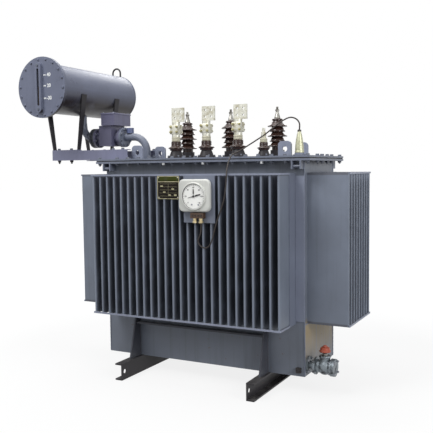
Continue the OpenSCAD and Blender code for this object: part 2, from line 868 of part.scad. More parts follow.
// Flared clamp ring of a low-voltage bushing, at a share of its full size
module lv_clamp_ring(share) {
    post((lv_clamp_ring_diameter + clamp_flange * 2) * share, clamp_flange * share, 0, 0, cover_top);
    translate([0, 0, cover_top + clamp_flange * share])
        cylinder(d1 = lv_clamp_ring_diameter * share, d2 = lv_collar_diameter * share,
            h = (lv_clamp_ring_height - clamp_flange) * share);
}

module lv_clamps()
    color(dark_paint) {
        at_lv()
            lv_clamp_ring(phase_size_share);
        at_neutral()
            lv_clamp_ring(neutral_size_share);
    }

// Porcelain of a low-voltage bushing, at a share of its full size
module lv_insulator(share) {
    translate([0, 0, cover_top + (lv_porcelain_bottom - cover_top) * share])
        cylinder(d1 = lv_shed_diameter * share, d2 = lv_collar_diameter * share, h = lv_shed_height * share);
    post(lv_collar_diameter * share, lv_collar_height * share, 0, 0,
        cover_top + (lv_collar_bottom - cover_top) * share);
}

module lv_porcelain()
    color(porcelain) {
        at_lv()
            lv_insulator(phase_size_share);
        at_neutral()
            lv_insulator(neutral_size_share);
    }

// Pale washer of a low-voltage bushing, at a share of its full size
module lv_washer(share)
    post(lv_washer_diameter * share, lv_washer_height * share, 0, 0,
        cover_top + (lv_washer_bottom - cover_top) * share);

module lv_washers()
    color(pale) {
        at_lv()
            lv_washer(phase_size_share);
        at_neutral()
            lv_washer(neutral_size_share);
    }

module lv_terminals()
    color(tinned)
        at_lv() {
            post(lv_clamp_diameter, lv_clamp_height, 0, 0, lv_clamp_bottom);
            difference() {
                block(flag_size, flag_thickness, flag_size, flag_offset, 0, flag_bottom);
                for (x = [-1, 1])
                    for (z = [-1, 1])
                        drum(flag_hole_diameter, flag_thickness + cut * 2,
                            flag_offset + x * flag_hole_spacing / 2, -flag_thickness / 2 - cut,
                            flag_bottom + flag_size / 2 + z * flag_hole_spacing / 2);
            }
        }

module neutral_terminal()
    color(tinned)
        at_neutral() {
            post(neutral_clamp_diameter, neutral_clamp_height, 0, 0, neutral_clamp_bottom);
            post(neutral_stud_diameter, neutral_stud_length, 0, 0,
                neutral_clamp_bottom + neutral_clamp_height);
        }

module thermometer_pocket()
    color(pale)
        translate([pocket_x, -pocket_row, cover_top]) {
            cylinder(d = pocket_diameter, h = pocket_height * pocket_foot_share);
            translate([0, 0, pocket_height * pocket_foot_share])
                cylinder(d1 = pocket_diameter * pocket_cone_share_low,
                    d2 = pocket_diameter * pocket_cone_share_high, h = pocket_height * pocket_cone_share);
            cylinder(d = pocket_diameter * pocket_cone_share_high, h = pocket_height);
        }

module dial_bracket()
    color(paint)
        block(dial_case_width, bracket_thickness,
            dial_case_height + bracket_reach_above + bracket_reach_below, dial_position,
            -bar_front - bracket_thickness / 2, dial_bottom - bracket_reach_below);

module dial_case()
    color(pale)
        translate([dial_position - dial_case_offset, -bracket_front, dial_bottom + dial_case_height / 2])
            rotate([90, 0, 0])
                linear_extrude(height = dial_case_depth) {
                    square([dial_case_width, dial_case_height - dial_case_radius * 2], center = true);
                    square([dial_case_width - dial_case_radius * 2, dial_case_height], center = true);
                    for (x = [-1, 1])
                        for (y = [-1, 1])
                            translate([x * (dial_case_width / 2 - dial_case_radius),
                                y * (dial_case_height / 2 - dial_case_radius)])
                                circle(r = dial_case_radius);
                }

module dial_terminal_block()
    color(dark_paint)
        block(block_width, block_depth, block_height, dial_position, gland_y, block_bottom);

module cable_glands()
    color(tinned)
        for (side = [-1, 1])
            post(gland_diameter, gland_length, dial_position + side * gland_spacing / 2, gland_y,
                gland_bottom);

// Smooth curve through four route points
function curve(a, b, c, d, t) =
    (b * 2 + (c - a) * t + (a * 2 - b * 5 + c * 4 - d) * t * t + (b * 3 - a - c * 3 + d) * t * t * t) / 2;
function route_point(route, i) = route[max(0, min(len(route) - 1, i))];
function smooth(route, samples) = [
    for (i = [0 : len(route) - 2])
        for (s = [0 : samples - 1])
            curve(route_point(route, i - 1), route[i], route[i + 1], route_point(route, i + 2), s / samples),
    route[len(route) - 1]
];
function unit(v) = v / norm(v);
function heading(path, i) = unit(path[min(i + 1, len(path) - 1)] - path[max(i - 1, 0)]);
function across(v, w) = unit(v - w * (v * w));
function side_of(path, i) =
    i == 0 ? across([1, 0, 0], heading(path, 0)) : across(side_of(path, i - 1), heading(path, i));
function ring(centre, side, way, radius, sides) = [
    for (k = [0 : sides - 1])
        centre + (side * cos(360 * k / sides) + cross(way, side) * sin(360 * k / sides)) * radius
];

// A round tube along a path
module swept_tube(path, radius, sides) {
    rings = len(path);
    points = [
        for (i = [0 : rings - 1])
            each ring(path[i], side_of(path, i), heading(path, i), radius, sides)
    ];
    walls = [
        for (i = [0 : rings - 2])
            for (k = [0 : sides - 1])
                [i * sides + k, (i + 1) * sides + k, (i + 1) * sides + (k + 1) % sides,
                    i * sides + (k + 1) % sides]
    ];
    first = [[for (k = [0 : sides - 1]) k]];
    last = [[for (k = [0 : sides - 1]) rings * sides - 1 - k]];
    polyhedron(points = points, faces = concat(walls, first, last));
}

module capillary_tube()
    color(dark_paint)
        swept_tube(smooth(capillary_route, capillary_samples), capillary_diameter / 2, capillary_sides);

module nameplate()
    color(dark_paint)
        block(plate_width, plate_thickness, plate_height, plate_position, -long_fin_tip - plate_thickness / 2,
            fin_top - plate_drop - plate_height);

module earth_terminal()
    color(dark_paint)
        block(earth_size, earth_depth, earth_size, tank_x - earth_inset, -tank_y - earth_depth / 2,
            tank_bottom + earth_height - earth_size / 2);

module conservator_shell()
    color(paint)
        difference() {
            union() {
                drum(drum_diameter, drum_length - end_cover_thickness - rear_end_thickness,
                    -conservator_offset, drum_front + end_cover_thickness, drum_axis);
                drum(end_cover_diameter, drum_flange_thickness, -conservator_offset,
                    drum_front + end_cover_thickness, drum_axis);
            }
            drum(drum_diameter - drum_wall * 2, drum_length, -conservator_offset, drum_front, drum_axis);
        }

module conservator_front_cover()
    color(paint)
        drum(end_cover_diameter, end_cover_thickness, -conservator_offset, drum_front, drum_axis);

module conservator_rear_end()
    color(paint)
        drum(drum_diameter, rear_end_thickness, -conservator_offset, -drum_front - rear_end_thickness,
            drum_axis);

// A flat bar with round ends, upright, of a given depth in front of the conservator's cover
module upright_slot(width, height, depth, back)
    translate([-conservator_offset + gauge_offset, back, drum_axis])
        rotate([90, 0, 0])
            linear_extrude(height = depth) {
                square([width, height - width], center = true);
                for (end = [-1, 1])
                    translate([0, end * (height - width) / 2])
                        circle(d = width);
            }

module level_gauge_frame()
    color(paint)
        difference() {
            upright_slot(gauge_width, gauge_height, gauge_depth, drum_front);
            upright_slot(gauge_glass_width, gauge_height * gauge_glass_share, gauge_depth + cut * 2,
                drum_front + cut);
        }

module level_gauge_glass()
    color(pale)
        upright_slot(gauge_glass_width, gauge_height * gauge_glass_share, gauge_depth / 2, drum_front);

module conservator_hoop()
    color(dark_paint)
        difference() {
            translate([-conservator_offset, -drum_front - hoop_inset,
                drum_axis + drum_diameter / 2 + hoop_height - hoop_width / 2]) {
                rotate([90, 0, 0])
                    rotate_extrude(angle = 180)
                        translate([(hoop_width - hoop_bar_diameter) / 2, 0])
                            circle(d = hoop_bar_diameter);
                for (side = [-1, 1])
                    post(hoop_bar_diameter, hoop_height, side * (hoop_width - hoop_bar_diameter) / 2, 0,
                        -hoop_height);
            }
            drum(drum_diameter, drum_length, -conservator_offset, drum_front, drum_axis);
        }

module conservator_rails()
    color(dark_paint)
        both_sides()
            translate([-rim_x - rail_overhang, -rail_spacing / 2 - rail_width / 2, cover_top])
                rotate([90, 0, 90])
                    linear_extrude(height = rail_length)
                        difference() {
                            square([rail_width, rail_height]);
                            translate([rail_wall, rail_wall])
                                square([rail_width, rail_height - rail_wall * 2]);
                        }

module saddle_feet()
    color(dark_paint)
        both_sides()
            block(leg_foot_spacing, rail_width, foot_plate_thickness, -conservator_offset, -rail_spacing / 2,
                rail_top);

module saddle_legs()
    color(dark_paint)
        both_sides()
            difference() {
                intersection() {
                    translate([-conservator_offset, -rail_spacing / 2 + leg_width / 2, rail_top])
                        rotate([90, 0, 0])
                            linear_extrude(height = leg_width)
                                both_ends()
                                    polygon([
                                        [leg_foot_spacing / 2 - leg_thickness, foot_plate_thickness],
                                        [leg_foot_spacing / 2, foot_plate_thickness],
                                        [leg_top_spacing / 2, leg_rise],
                                        [leg_top_spacing / 2 - leg_thickness, leg_rise]
                                    ]);
                    translate([-conservator_offset - leg_top_spacing, -rail_spacing / 2, rail_top])
                        rotate([90, 0, 90])
                            linear_extrude(height = leg_top_spacing * 2)
                                polygon([
                                    [-leg_foot_width / 2, 0],
                                    [leg_foot_width / 2, 0],
                                    [leg_width / 2, leg_rise],
                                    [-leg_width / 2, leg_rise]
                                ]);
                }
                drum(drum_diameter, drum_length, -conservator_offset, drum_front, drum_axis);
            }

module upper_oil_pipe()
    color(paint)
        difference() {
            union() {
                post(pipe_diameter, drum_axis - pipe_axis - upper_bend, -conservator_offset, 0,
                    pipe_axis + upper_bend);
                translate([valve_start, 0, pipe_axis + upper_bend])
                    rotate([90, 0, 0])
                        rotate([0, 0, 180])
                            rotate_extrude(angle = 90)
                                translate([upper_bend, 0])
                                    circle(d = pipe_diameter);
            }
            drum(drum_diameter, drum_length, -conservator_offset, drum_front, drum_axis);
        }

module shut_off_valve()
    color(dark_paint) {
        barrel(shut_off_diameter, shut_off_length, valve_start, 0, pipe_axis);
        barrel(pipe_flange_diameter, pipe_flange_thickness, valve_start, 0, pipe_axis);
        barrel(pipe_flange_diameter, pipe_flange_thickness, relay_start - pipe_flange_thickness, 0,
            pipe_axis);
    }

module relay_body()
    color(paint) {
        barrel(relay_barrel_diameter, relay_length, relay_start, 0, pipe_axis);
        barrel(pipe_flange_diameter, pipe_flange_thickness, relay_start, 0, pipe_axis);
        barrel(pipe_flange_diameter, pipe_flange_thickness, relay_end - pipe_flange_thickness, 0, pipe_axis);
        block(relay_chamber_length, relay_chamber_width, relay_chamber_drop + relay_chamber_rise,
            relay_middle + relay_chamber_shift, 0, pipe_axis - relay_chamber_drop);
    }

module relay_head()
    color(paint)
        block(relay_head_length, relay_head_width, relay_head_height, relay_middle + relay_head_shift, 0,
            relay_head_bottom);

module lower_oil_pipe()
    color(paint) {
        barrel(pipe_flange_diameter, pipe_flange_thickness, relay_end, 0, pipe_axis);
        barrel(pipe_diameter, -pipe_foot_position - lower_bend - lower_pipe_start, lower_pipe_start, 0,
            pipe_axis);
        translate([-pipe_foot_position - lower_bend, 0, pipe_axis - lower_bend])
            rotate([90, 0, 0])
                rotate_extrude(angle = 90)
                    translate([lower_bend, 0])
                        circle(d = pipe_diameter);
        post(pipe_diameter, pipe_height - lower_bend, -pipe_foot_position, 0, cover_top);
        post(pipe_foot_diameter, pipe_flange_thickness, -pipe_foot_position, 0, cover_top);
    }

module vent_cock()
    color(dark_paint)
        difference() {
            union() {
                post(cock_diameter / 2, pipe_diameter / 2 + cock_height, -cock_position, 0, pipe_axis);
                post(cock_diameter, cock_height, -cock_position, 0, pipe_axis + pipe_diameter / 2 + cut);
            }
            barrel(pipe_diameter, cock_diameter * 2, -cock_position - cock_diameter, 0, pipe_axis);
        }

module drain_valve()
    color(tinned) {
        barrel(valve_flange_diameter, valve_flange_thickness, tank_x, -valve_row, valve_axis);
        barrel(drain_pipe_diameter, drain_pipe_length, drain_pipe_start, -valve_row, valve_axis);
        barrel(valve_flange_diameter, valve_flange_thickness, valve_body_start, -valve_row, valve_axis);
        barrel(valve_body_diameter, valve_body_length, valve_body_start, -valve_row, valve_axis);
        translate([stem_x, -valve_row, valve_axis])
            sphere(d = valve_belly_diameter);
        barrel(valve_flange_diameter, valve_flange_thickness, valve_body_end, -valve_row, valve_axis);
        post(bonnet_diameter, bonnet_height, stem_x, -valve_row, valve_axis);
        post(packing_nut_diameter, packing_nut_height, stem_x, -valve_row, packing_bottom);
        post(stem_diameter, stem_length, stem_x, -valve_row, packing_top);
    }

module drain_blind_flange()
    color(tinned)
        barrel(valve_flange_diameter, blind_thickness, blind_start, -valve_row, valve_axis);

module drain_handwheel()
    color([0.75, 0.2, 0.08])
        translate([stem_x, -valve_row, wheel_bottom])
            difference() {
                union() {
                    cylinder(d = wheel_hub_diameter, h = wheel_hub_height);
                    rotate_extrude()
                        translate([wheel_rim_radius, wheel_rim_diameter / 2])
                            circle(d = wheel_rim_diameter);
                    rotate_extrude()
                        polygon([
                            [wheel_hub_diameter / 4, wheel_hub_height - dish_thickness * 2],
                            [wheel_hub_diameter / 4, wheel_hub_height],
                            [wheel_hub_diameter / 2 + dish_thickness / 2, wheel_hub_height],
                            [dish_shoulder_radius, dish_shoulder_height],
                            [wheel_rim_radius + dish_thickness / 2, wheel_rim_diameter / 2],
                            [wheel_rim_radius - dish_thickness / 2, wheel_rim_diameter / 2],
                            [dish_shoulder_radius - dish_thickness, dish_shoulder_height - dish_thickness],
                            [wheel_hub_diameter / 2, wheel_hub_height - dish_thickness * 2]
                        ]);
                }
                for (turn = [0 : 90 : 270])
                    rotate([0, 0, turn])
                        translate([wheel_hole_radius, 0, -cut])
                            cylinder(d = dish_hole_diameter, h = wheel_hub_height + cut * 2);
                translate([0, 0, -cut])
                    cylinder(r = stem_diameter / 2 + stem_clearance, h = wheel_hub_height + cut * 2);
            }

base_channel_left();
base_channel_right();
tank_body();
corner_strips();
fin_cheeks();
front_fin_bank();
rear_fin_bank();
left_fin_bank();
right_fin_bank();
tie_bars();
gussets();
stiffeners();
tank_rim();
cover_gasket();
cover_plate();
cover_lifting_lugs();
tank_lifting_hooks();
hook_bars();
hv_clamps();
hv_porcelain();
hv_terminals();
lv_clamps();
lv_porcelain();
lv_washers();
lv_terminals();
neutral_terminal();
thermometer_pocket();
dial_bracket();
dial_case();
dial_terminal_block();
cable_glands();
capillary_tube();
nameplate();
earth_terminal();
conservator_shell();
conservator_front_cover();
conservator_rear_end();
level_gauge_frame();
level_gauge_glass();
conservator_hoop();
conservator_rails();
saddle_feet();
saddle_legs();
upper_oil_pipe();
shut_off_valve();
relay_body();
relay_head();
lower_oil_pipe();
vent_cock();
drain_valve();
drain_blind_flange();
drain_handwheel();
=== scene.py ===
"""Finishes, fins, insulators, dial, fastenings and studio of an oil-immersed distribution transformer."""

import logging
import math
from collections.abc import Callable, Sequence
from dataclasses import dataclass
from enum import Enum
from itertools import product
from typing import ClassVar

import bmesh
import bpy
from mathutils import Euler, Matrix, Vector


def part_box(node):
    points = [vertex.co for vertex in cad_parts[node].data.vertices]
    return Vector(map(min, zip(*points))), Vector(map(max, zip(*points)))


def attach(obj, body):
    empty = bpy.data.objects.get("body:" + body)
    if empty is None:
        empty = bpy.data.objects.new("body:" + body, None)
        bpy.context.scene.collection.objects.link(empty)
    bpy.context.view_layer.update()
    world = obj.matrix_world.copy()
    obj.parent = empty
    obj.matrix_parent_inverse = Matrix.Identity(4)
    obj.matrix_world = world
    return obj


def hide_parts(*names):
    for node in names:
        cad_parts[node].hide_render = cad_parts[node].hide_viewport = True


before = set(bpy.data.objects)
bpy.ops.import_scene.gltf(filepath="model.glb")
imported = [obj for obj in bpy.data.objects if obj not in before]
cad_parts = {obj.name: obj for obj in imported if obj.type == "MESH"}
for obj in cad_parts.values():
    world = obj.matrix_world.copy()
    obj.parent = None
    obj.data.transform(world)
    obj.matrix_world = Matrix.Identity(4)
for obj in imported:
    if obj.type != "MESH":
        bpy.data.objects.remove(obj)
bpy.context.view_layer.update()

LOG = logging.getLogger("transformer")
SIDES = (-1, 1)
EIGHTH = math.pi / 4
FLAT_SMOOTH, LATHE_SMOOTH, TUBE_SMOOTH = 34.0, 42.0, 60.0
Point = tuple[float, float, float]
Colour = tuple[float, float, float]
Profile = Sequence[tuple[float, float]]
Piece = bpy.types.Object
Socket = bpy.types.NodeSocket


def tint(red: int, green: int, blue: int) -> Colour:
    """Turn a screen colour, from 0 to 255, into the linear colour that a shader takes."""
    shares = (red / 255, green / 255, blue / 255)
    return tuple(s / 12.92 if s <= 0.04045 else ((s + 0.055) / 1.055) ** 2.4 for s in shares)


def shaded(colour: Colour, share: float) -> Colour:
    """Return a colour made lighter or darker by a share."""
    return tuple(min(1.0, channel * share) for channel in colour)


def raised(profile: Profile, base: float) -> list[tuple[float, float]]:
    """Return a profile lifted to a base height."""
    return [(radius, base + height) for radius, height in profile]


class Way(Enum):
    """Direction in which a turned piece or a fastening points."""

    UP = (0.0, 0.0, 1.0)
    DOWN = (0.0, 0.0, -1.0)
    FRONT = (0.0, -1.0, 0.0)
    REAR = (0.0, 1.0, 0.0)
    LEFT = (-1.0, 0.0, 0.0)
    RIGHT = (1.0, 0.0, 0.0)

    def turn(self) -> Euler:
        """Return the turn that takes the upright direction to this one."""
        return Vector((0, 0, 1)).rotation_difference(Vector(self.value)).to_euler()


Seat = tuple[Point, Way]


class Body(Enum):
    """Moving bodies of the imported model."""

    TRANSFORMER = "transformer"
    HANDWHEEL = "handwheel"


class Slot(Enum):
    """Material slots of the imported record."""

    TANK = "tank_paint"
    DARK = "dark_paint"
    RELAY = "relay_paint"
    RED = "red_paint"
    IRON = "valve_iron"
    PORCELAIN = "brown_porcelain"
    TINNED = "tinned_brass"
    POCKET = "pocket_brass"
    TUBE = "steel_tube"
    RUBBER = "gasket_rubber"
    PALE = "pale_plastic"
    CASE = "case_grey"
    BLACK = "black_plastic"
    PLATE = "black_plate"
    GLASS = "gauge_glass"


class Board:
    """Node tree of a material or of the sky while it is laid out."""

    def __init__(self, owner: bpy.types.Material | bpy.types.World, output: str = "OutputMaterial") -> None:
        """Start with the output and the piece's own coordinates.

        Args:
            owner: Material or sky that has the tree.
            output: Kind of its output node.
        """
        owner.use_nodes = True
        self.tree = owner.node_tree
        self.tree.nodes.clear()
        self.output = self.node(output)
        self.place = self.node("TexCoord").outputs["Object"]

    def put(self, socket: Socket, value: object) -> None:
        """Link a socket to another one, or set its own value.

        Args:
            socket: Input to fill.
            value: An output socket, a number or a colour.
        """
        if isinstance(value, Socket):
            self.tree.links.new(value, socket)
        elif isinstance(value, tuple) and len(socket.default_value) == 4 and len(value) == 3:
            socket.default_value = (*value, 1.0)
        else:
            socket.default_value = value

    def node(self, kind: str, **values: object) -> bpy.types.Node:
        """Add a node.

        Args:
            kind: Kind of the node.
            values: Values of its inputs, named with underscores for spaces.

        Returns:
            The node.
        """
        node = self.tree.nodes.new("ShaderNode" + kind)
        for name, value in values.items():
            self.put(node.inputs[name.replace("_", " ")], value)
        return node

    def noise(self, scale: float, detail: float = 4.0, stretch: Point | None = None) -> Socket:
        """Add cloudy noise from 0 to 1, with clouds per metre, finer layers and shares of the axes."""
        place = self.node("Mapping", Scale=stretch, Vector=self.place).outputs[0] if stretch else self.place
        return self.node("TexNoise", Scale=scale, Detail=detail, Vector=place).outputs[0]

    def band(self, value: Socket, low: float, high: float, top: float = 1.0, bottom: float = 0.0) -> Socket:
        """Spread a value between a low and a high one from a bottom to a top, cut off at both ends."""
        spread = self.node("MapRange", Value=value, From_Min=low, From_Max=high, To_Min=bottom, To_Max=top)
        return spread.outputs[0]

    def sum(self, way: str, first: object, second: object) -> Socket:
        """Work out one sum of two values.

        Args:
            way: Name of the sum, such as ADD or MULTIPLY.
            first: First value.
            second: Second value.

        Returns:
            The result.
        """
        node = self.node("Math")
        node.operation = way
        self.put(node.inputs[0], first)
        self.put(node.inputs[1], second)
        return node.outputs[0]

    def times(self, first: object, second: object) -> Socket:
        """Multiply two values."""
        return self.sum("MULTIPLY", first, second)

    def plus(self, first: object, second: object) -> Socket:
        """Add two values."""
        return self.sum("ADD", first, second)

    def broken(
        self, mask: Socket, scale: float, low: float, high: float, detail: float = 4.0, top: float = 1.0
    ) -> Socket:
        """Break a mask up with cloudy noise, spread between two of its values up to a top share."""
        return self.times(mask, self.band(self.noise(scale, detail), low, high, top))

    def blend(self, share: object, first: object, second: object) -> Socket:
        """Blend two colours.

        Args:
            share: Share of the second colour.
            first: First colour.
            second: Second colour.

        Returns:
            The blended colour.
        """
        node = self.node("Mix")
        node.data_type = "RGBA"
        self.put(node.inputs[0], share)
        self.put(node.inputs[6], first)
        self.put(node.inputs[7], second)
        return node.outputs[2]

    def normal(self) -> Socket:
        """Return the direction in which the surface looks."""
        return self.node("NewGeometry").outputs["Normal"]

    def facing(self, axis: str) -> Socket:
        """Return how far the surface looks along an axis, from -1 to 1."""
        return self.node("SeparateXYZ", Vector=self.normal()).outputs[axis]

    def part(self, axis: str) -> Socket:
        """Return one coordinate of the surface, by the axis' letter."""
        return self.node("SeparateXYZ", Vector=self.place).outputs[axis]

    def reach(self, axis: str) -> Socket:
        """Return the distance from the middle plane across an axis."""
        return self.sum("ABSOLUTE", self.part(axis), 0.0)

    def measure(self, way: str, *vectors: Socket) -> Socket:
        """Work out a number from vectors.

        Args:
            way: Name of the measure, such as LENGTH.
            vectors: One or two vectors.

        Returns:
            The number.
        """
        node = self.node("VectorMath")
        node.operation = way
        for socket, vector in zip(node.inputs, vectors):
            self.put(socket, vector)
        return node.outputs["Value"]

    def edges(self, radius: float) -> Socket:
        """Find the neighbourhood of sharp edges.

        Args:
            radius: Reach of an edge.

        Returns:
            A value above 0 near an edge.
        """
        bevel = self.node("Bevel", Radius=radius)
        bevel.samples = 4
        return self.sum("SUBTRACT", 1.0, self.measure("DOT_PRODUCT", bevel.outputs[0], self.normal()))

    def relief(self, height: Socket, strength: float, distance: float) -> Socket:
        """Add a bump of a height, a strength and a depth, and return its direction."""
        return self.node("Bump", Strength=strength, Distance=distance, Height=height).outputs[0]

    def show(self, shader: bpy.types.Node) -> None:
        """Show a shader."""
        self.put(self.output.inputs["Surface"], shader.outputs[0])

    def give(self, **values: object) -> None:
        """Show a glossy shader with values of its inputs, named with underscores for spaces."""
        self.show(self.node("BsdfPrincipled", **values))

    def mix(self, share: Socket, first: bpy.types.Node, second: bpy.types.Node) -> None:
        """Show a mix of two shaders.

        Args:
            share: Share of the second shader.
            first: First shader.
            second: Second shader.
        """
        node = self.node("MixShader")
        for socket, value in zip(node.inputs, (share, first.outputs[0], second.outputs[0])):
            self.put(socket, value)
        self.show(node)


@dataclass(frozen=True)
class Finish:
    """A finish that is laid out once and then shared by its pieces."""

    made: ClassVar[dict[str, bpy.types.Material]] = {}
    name: str
    slot: Slot
    colour: Colour

    def lay(self, board: Board) -> None:
        """Lay out the finish on a board, in each kind of finish its own way."""
        raise NotImplementedError

    def clouded(self, board: Board, cloud: Socket, dark: float, light: float) -> Socket:
        """Return the finish's colour between a dark and a light share along a cloud."""
        return board.blend(cloud, shaded(self.colour, dark), shaded(self.colour, light))

    def material(self) -> bpy.types.Material:
        """Return the material, laid out at its first use."""
        if self.name not in Finish.made:
            Finish.made[self.name] = bpy.data.materials.new(self.name)
            self.lay(Board(Finish.made[self.name]))
        return Finish.made[self.name]


@dataclass(frozen=True)
class SprayedPaint(Finish):
    """Sprayed enamel on steel with patches, run-off streaks, dust, worn edges and rust flecks, and optional
    painted light: a ground-coloured reflection on the right wall, shade in the fin gaps and shade on
    undersides.
    """

    gloss: float = 0.42
    patches: float = 0.09
    streaks: float = 0.3
    dust: float = 0.3
    wear: float = 0.55
    rust: float = 0.5
    ground_reflection: float = 0.0
    fin_gap_shade: float = 0.0
    underside_shade: float = 0.0
    shine: float = 0.5

    def paint_ground_reflection(self, board: Board, shade: Socket) -> Socket:
        """Paint a yellow tint on the lower wall where it faces right, broken into vertical streaks: a painted
        reflection of the ground's colour.

        Args:
            board: Board that takes the nodes.
            shade: Colour before the painted reflection.

        Returns:
            Colour with the painted reflection.
        """
        low = board.times(board.band(board.part("Z"), 0.10, 0.34, self.ground_reflection), board.facing("X"))
        low = board.times(low, board.band(board.part("Z"), 0.43, 0.385))
        vertical_streaks = board.band(board.noise(1.0, 5.0, (24.0, 30.0, 1.1)), 0.05, 0.48)
        # painted reflection: the ground's yellow on the right-facing lower wall
        return board.blend(board.times(board.band(low, 0.0, 1.0), vertical_streaks), shade, tint(140, 118, 68))

    def paint_fin_gap_shade(self, board: Board, shade: Socket) -> Socket:
        """Paint shade into the gaps between the fins behind their tips.

        Args:
            board: Board that takes the nodes.
            shade: Colour before the painted gap shade.

        Returns:
            Colour with the painted gap shade.
        """
        gaps = []
        for outward, tip, along, end in (("Y", 0.4705, "X", 0.6062), ("X", 0.8965, "Y", 0.2062)):
            behind = board.band(board.reach(outward), tip, tip - 0.0085)
            gaps.append(board.times(behind, board.band(board.reach(along), end, end - 0.001)))
        gap = board.broken(board.sum("MAXIMUM", *gaps), 9.0, 0.1, 0.5, top=self.fin_gap_shade)
        # painted shade: a dark grey in the gaps between the fins
        return board.blend(gap, shade, tint(48, 43, 45))

    def lay(self, board: Board) -> None:
        """Lay out the paint.

        Args:
            board: Board that takes the nodes.
        """
        cloud = board.noise(5.0, 6.0)
        shade = self.clouded(board, board.band(cloud, 0.32, 0.68), 1 - self.patches, 1 + self.patches)
        runs = board.band(board.noise(1.0, 5.0, (34.0, 34.0, 1.3)), 0.53, 0.72, self.streaks)
        shade = board.blend(runs, shade, shaded(self.colour, 0.6))
        # painted reflection of the ground on the right wall
        if self.ground_reflection > 0:
            shade = self.paint_ground_reflection(board, shade)
        powder = board.broken(board.band(board.facing("Z"), 0.55, 0.98, self.dust), 21.0, 0.3, 0.72)
        shade = board.blend(powder, shade, tint(150, 147, 140))
        # painted shade: a dark brown on the faces that look down
        if self.underside_shade > 0:
            painted_underside_shade = board.broken(board.band(board.facing("Z"), -0.01, -0.55, self.underside_shade), 6.0, 0.15, 0.45)
            shade = board.blend(painted_underside_shade, shade, tint(44, 36, 34))
        # painted shade between the fins
        if self.fin_gap_shade > 0:
            shade = self.paint_fin_gap_shade(board, shade)
        rubbed = board.broken(board.band(board.edges(0.004), 0.03, 0.25, self.wear), 42.0, 0.4, 0.62)
        shade = board.blend(rubbed, shade, shaded(self.colour, 1.7))
        flecks = board.broken(board.band(board.noise(58.0, 8.0), 0.68, 0.72, self.rust), 3.5, 0.5, 0.62, 3.0)
        shade = board.blend(flecks, shade, tint(104, 66, 42))
        rough = board.plus(board.band(cloud, 0.25, 0.75, 0.14), self.gloss - 0.05)
        rough = board.plus(board.plus(rough, board.times(flecks, 0.35)), board.times(powder, 0.4))
        peel = board.plus(board.noise(310.0, 2.0), board.times(flecks, 1.5))
        normal = board.relief(peel, 0.12, 0.0006)
        board.give(Base_Color=shade, Roughness=rough, Specular_IOR_Level=self.shine, Normal=normal)


@dataclass(frozen=True)
class GlazedPorcelain(Finish):
    """Glazed porcelain with cloudy glaze, thin at its lips, and dust on the upper sides."""

    thin: Colour = (0.2, 0.08, 0.04)
    dust: float = 0.22

    def lay(self, board: Board) -> None:
        """Lay out the glaze.

        Args:
            board: Board that takes the nodes.
        """
        cloud = board.noise(26.0, 5.0)
        shade = self.clouded(board, board.band(cloud, 0.3, 0.7), 0.75, 1.25)
        lips = board.broken(board.band(board.edges(0.003), 0.05, 0.4), 70.0, 0.3, 0.6)
        shade = board.blend(lips, shade, self.thin)
        powder = board.broken(board.band(board.facing("Z"), 0.35, 0.95, self.dust), 60.0, 0.3, 0.7)
        shade = board.blend(powder, shade, tint(142, 132, 122))
        rough = board.plus(board.band(cloud, 0.3, 0.7, 0.08), 0.1)
        board.give(
            Base_Color=shade, Roughness=board.plus(rough, board.times(powder, 1.6)), Coat_Weight=0.18,
            Coat_Roughness=0.08, Specular_IOR_Level=0.34,
            Normal=board.relief(board.noise(90.0, 2.0), 0.06, 0.0008),
        )


@dataclass(frozen=True)
class BareMetal(Finish):
    """Tinned, plated or cast metal with tarnish, brushing and grime."""

    tarnish: Colour = (0.12, 0.1, 0.07)
    metal: float = 0.9
    gloss: float = 0.32
    age: float = 0.5

    def lay(self, board: Board) -> None:
        """Lay out the metal.

        Args:
            board: Board that takes the nodes.
        """
        cloud = board.noise(34.0, 6.0)
        brushed = board.noise(130.0, 3.0)
        shade = self.clouded(board, board.band(brushed, 0.3, 0.7), 0.86, 1.1)
        spots = board.band(cloud, 0.48, 0.68, self.age)
        shade = board.blend(spots, shade, self.tarnish)
        worn = board.times(board.band(board.edges(0.002), 0.04, 0.3, 0.5), board.band(cloud, 0.6, 0.4))
        shade = board.blend(worn, shade, shaded(self.colour, 1.3))
        rough = board.plus(board.band(brushed, 0.3, 0.7, 0.12), self.gloss - 0.06)
        board.give(
            Base_Color=shade, Roughness=board.plus(rough, board.times(spots, 0.3)), Metallic=self.metal,
            Normal=board.relief(board.plus(brushed, board.times(cloud, 0.6)), 0.14, 0.0006),
        )


@dataclass(frozen=True)
class MouldedPlastic(Finish):
    """Moulded plastic, enamel or rubber with fine grain, greying and grime."""

    gloss: float = 0.45
    grime: Colour = (0.1, 0.09, 0.08)
    soiling: float = 0.25
    grain: float = 420.0
    shine: float = 0.5

    def lay(self, board: Board) -> None:
        """Lay out the plastic.

        Args:
            board: Board that takes the nodes.
        """
        cloud = board.noise(13.0, 5.0)
        shade = self.clouded(board, board.band(cloud, 0.3, 0.7), 0.93, 1.05)
        dirt = board.band(board.noise(1.0, 6.0, (46.0, 46.0, 7.0)), 0.52, 0.74, self.soiling)
        shade = board.blend(dirt, shade, self.grime)
        rubbed = board.band(board.edges(0.0025), 0.05, 0.35, 0.35)
        shade = board.blend(rubbed, shade, shaded(self.colour, 1.22))
        rough = board.plus(board.band(cloud, 0.3, 0.7, 0.14), self.gloss - 0.07)
        board.give(
            Base_Color=shade, Roughness=board.plus(rough, board.times(dirt, 0.3)),
            Specular_IOR_Level=self.shine, Normal=board.relief(board.noise(self.grain, 2.0), 0.1, 0.0004),
        )


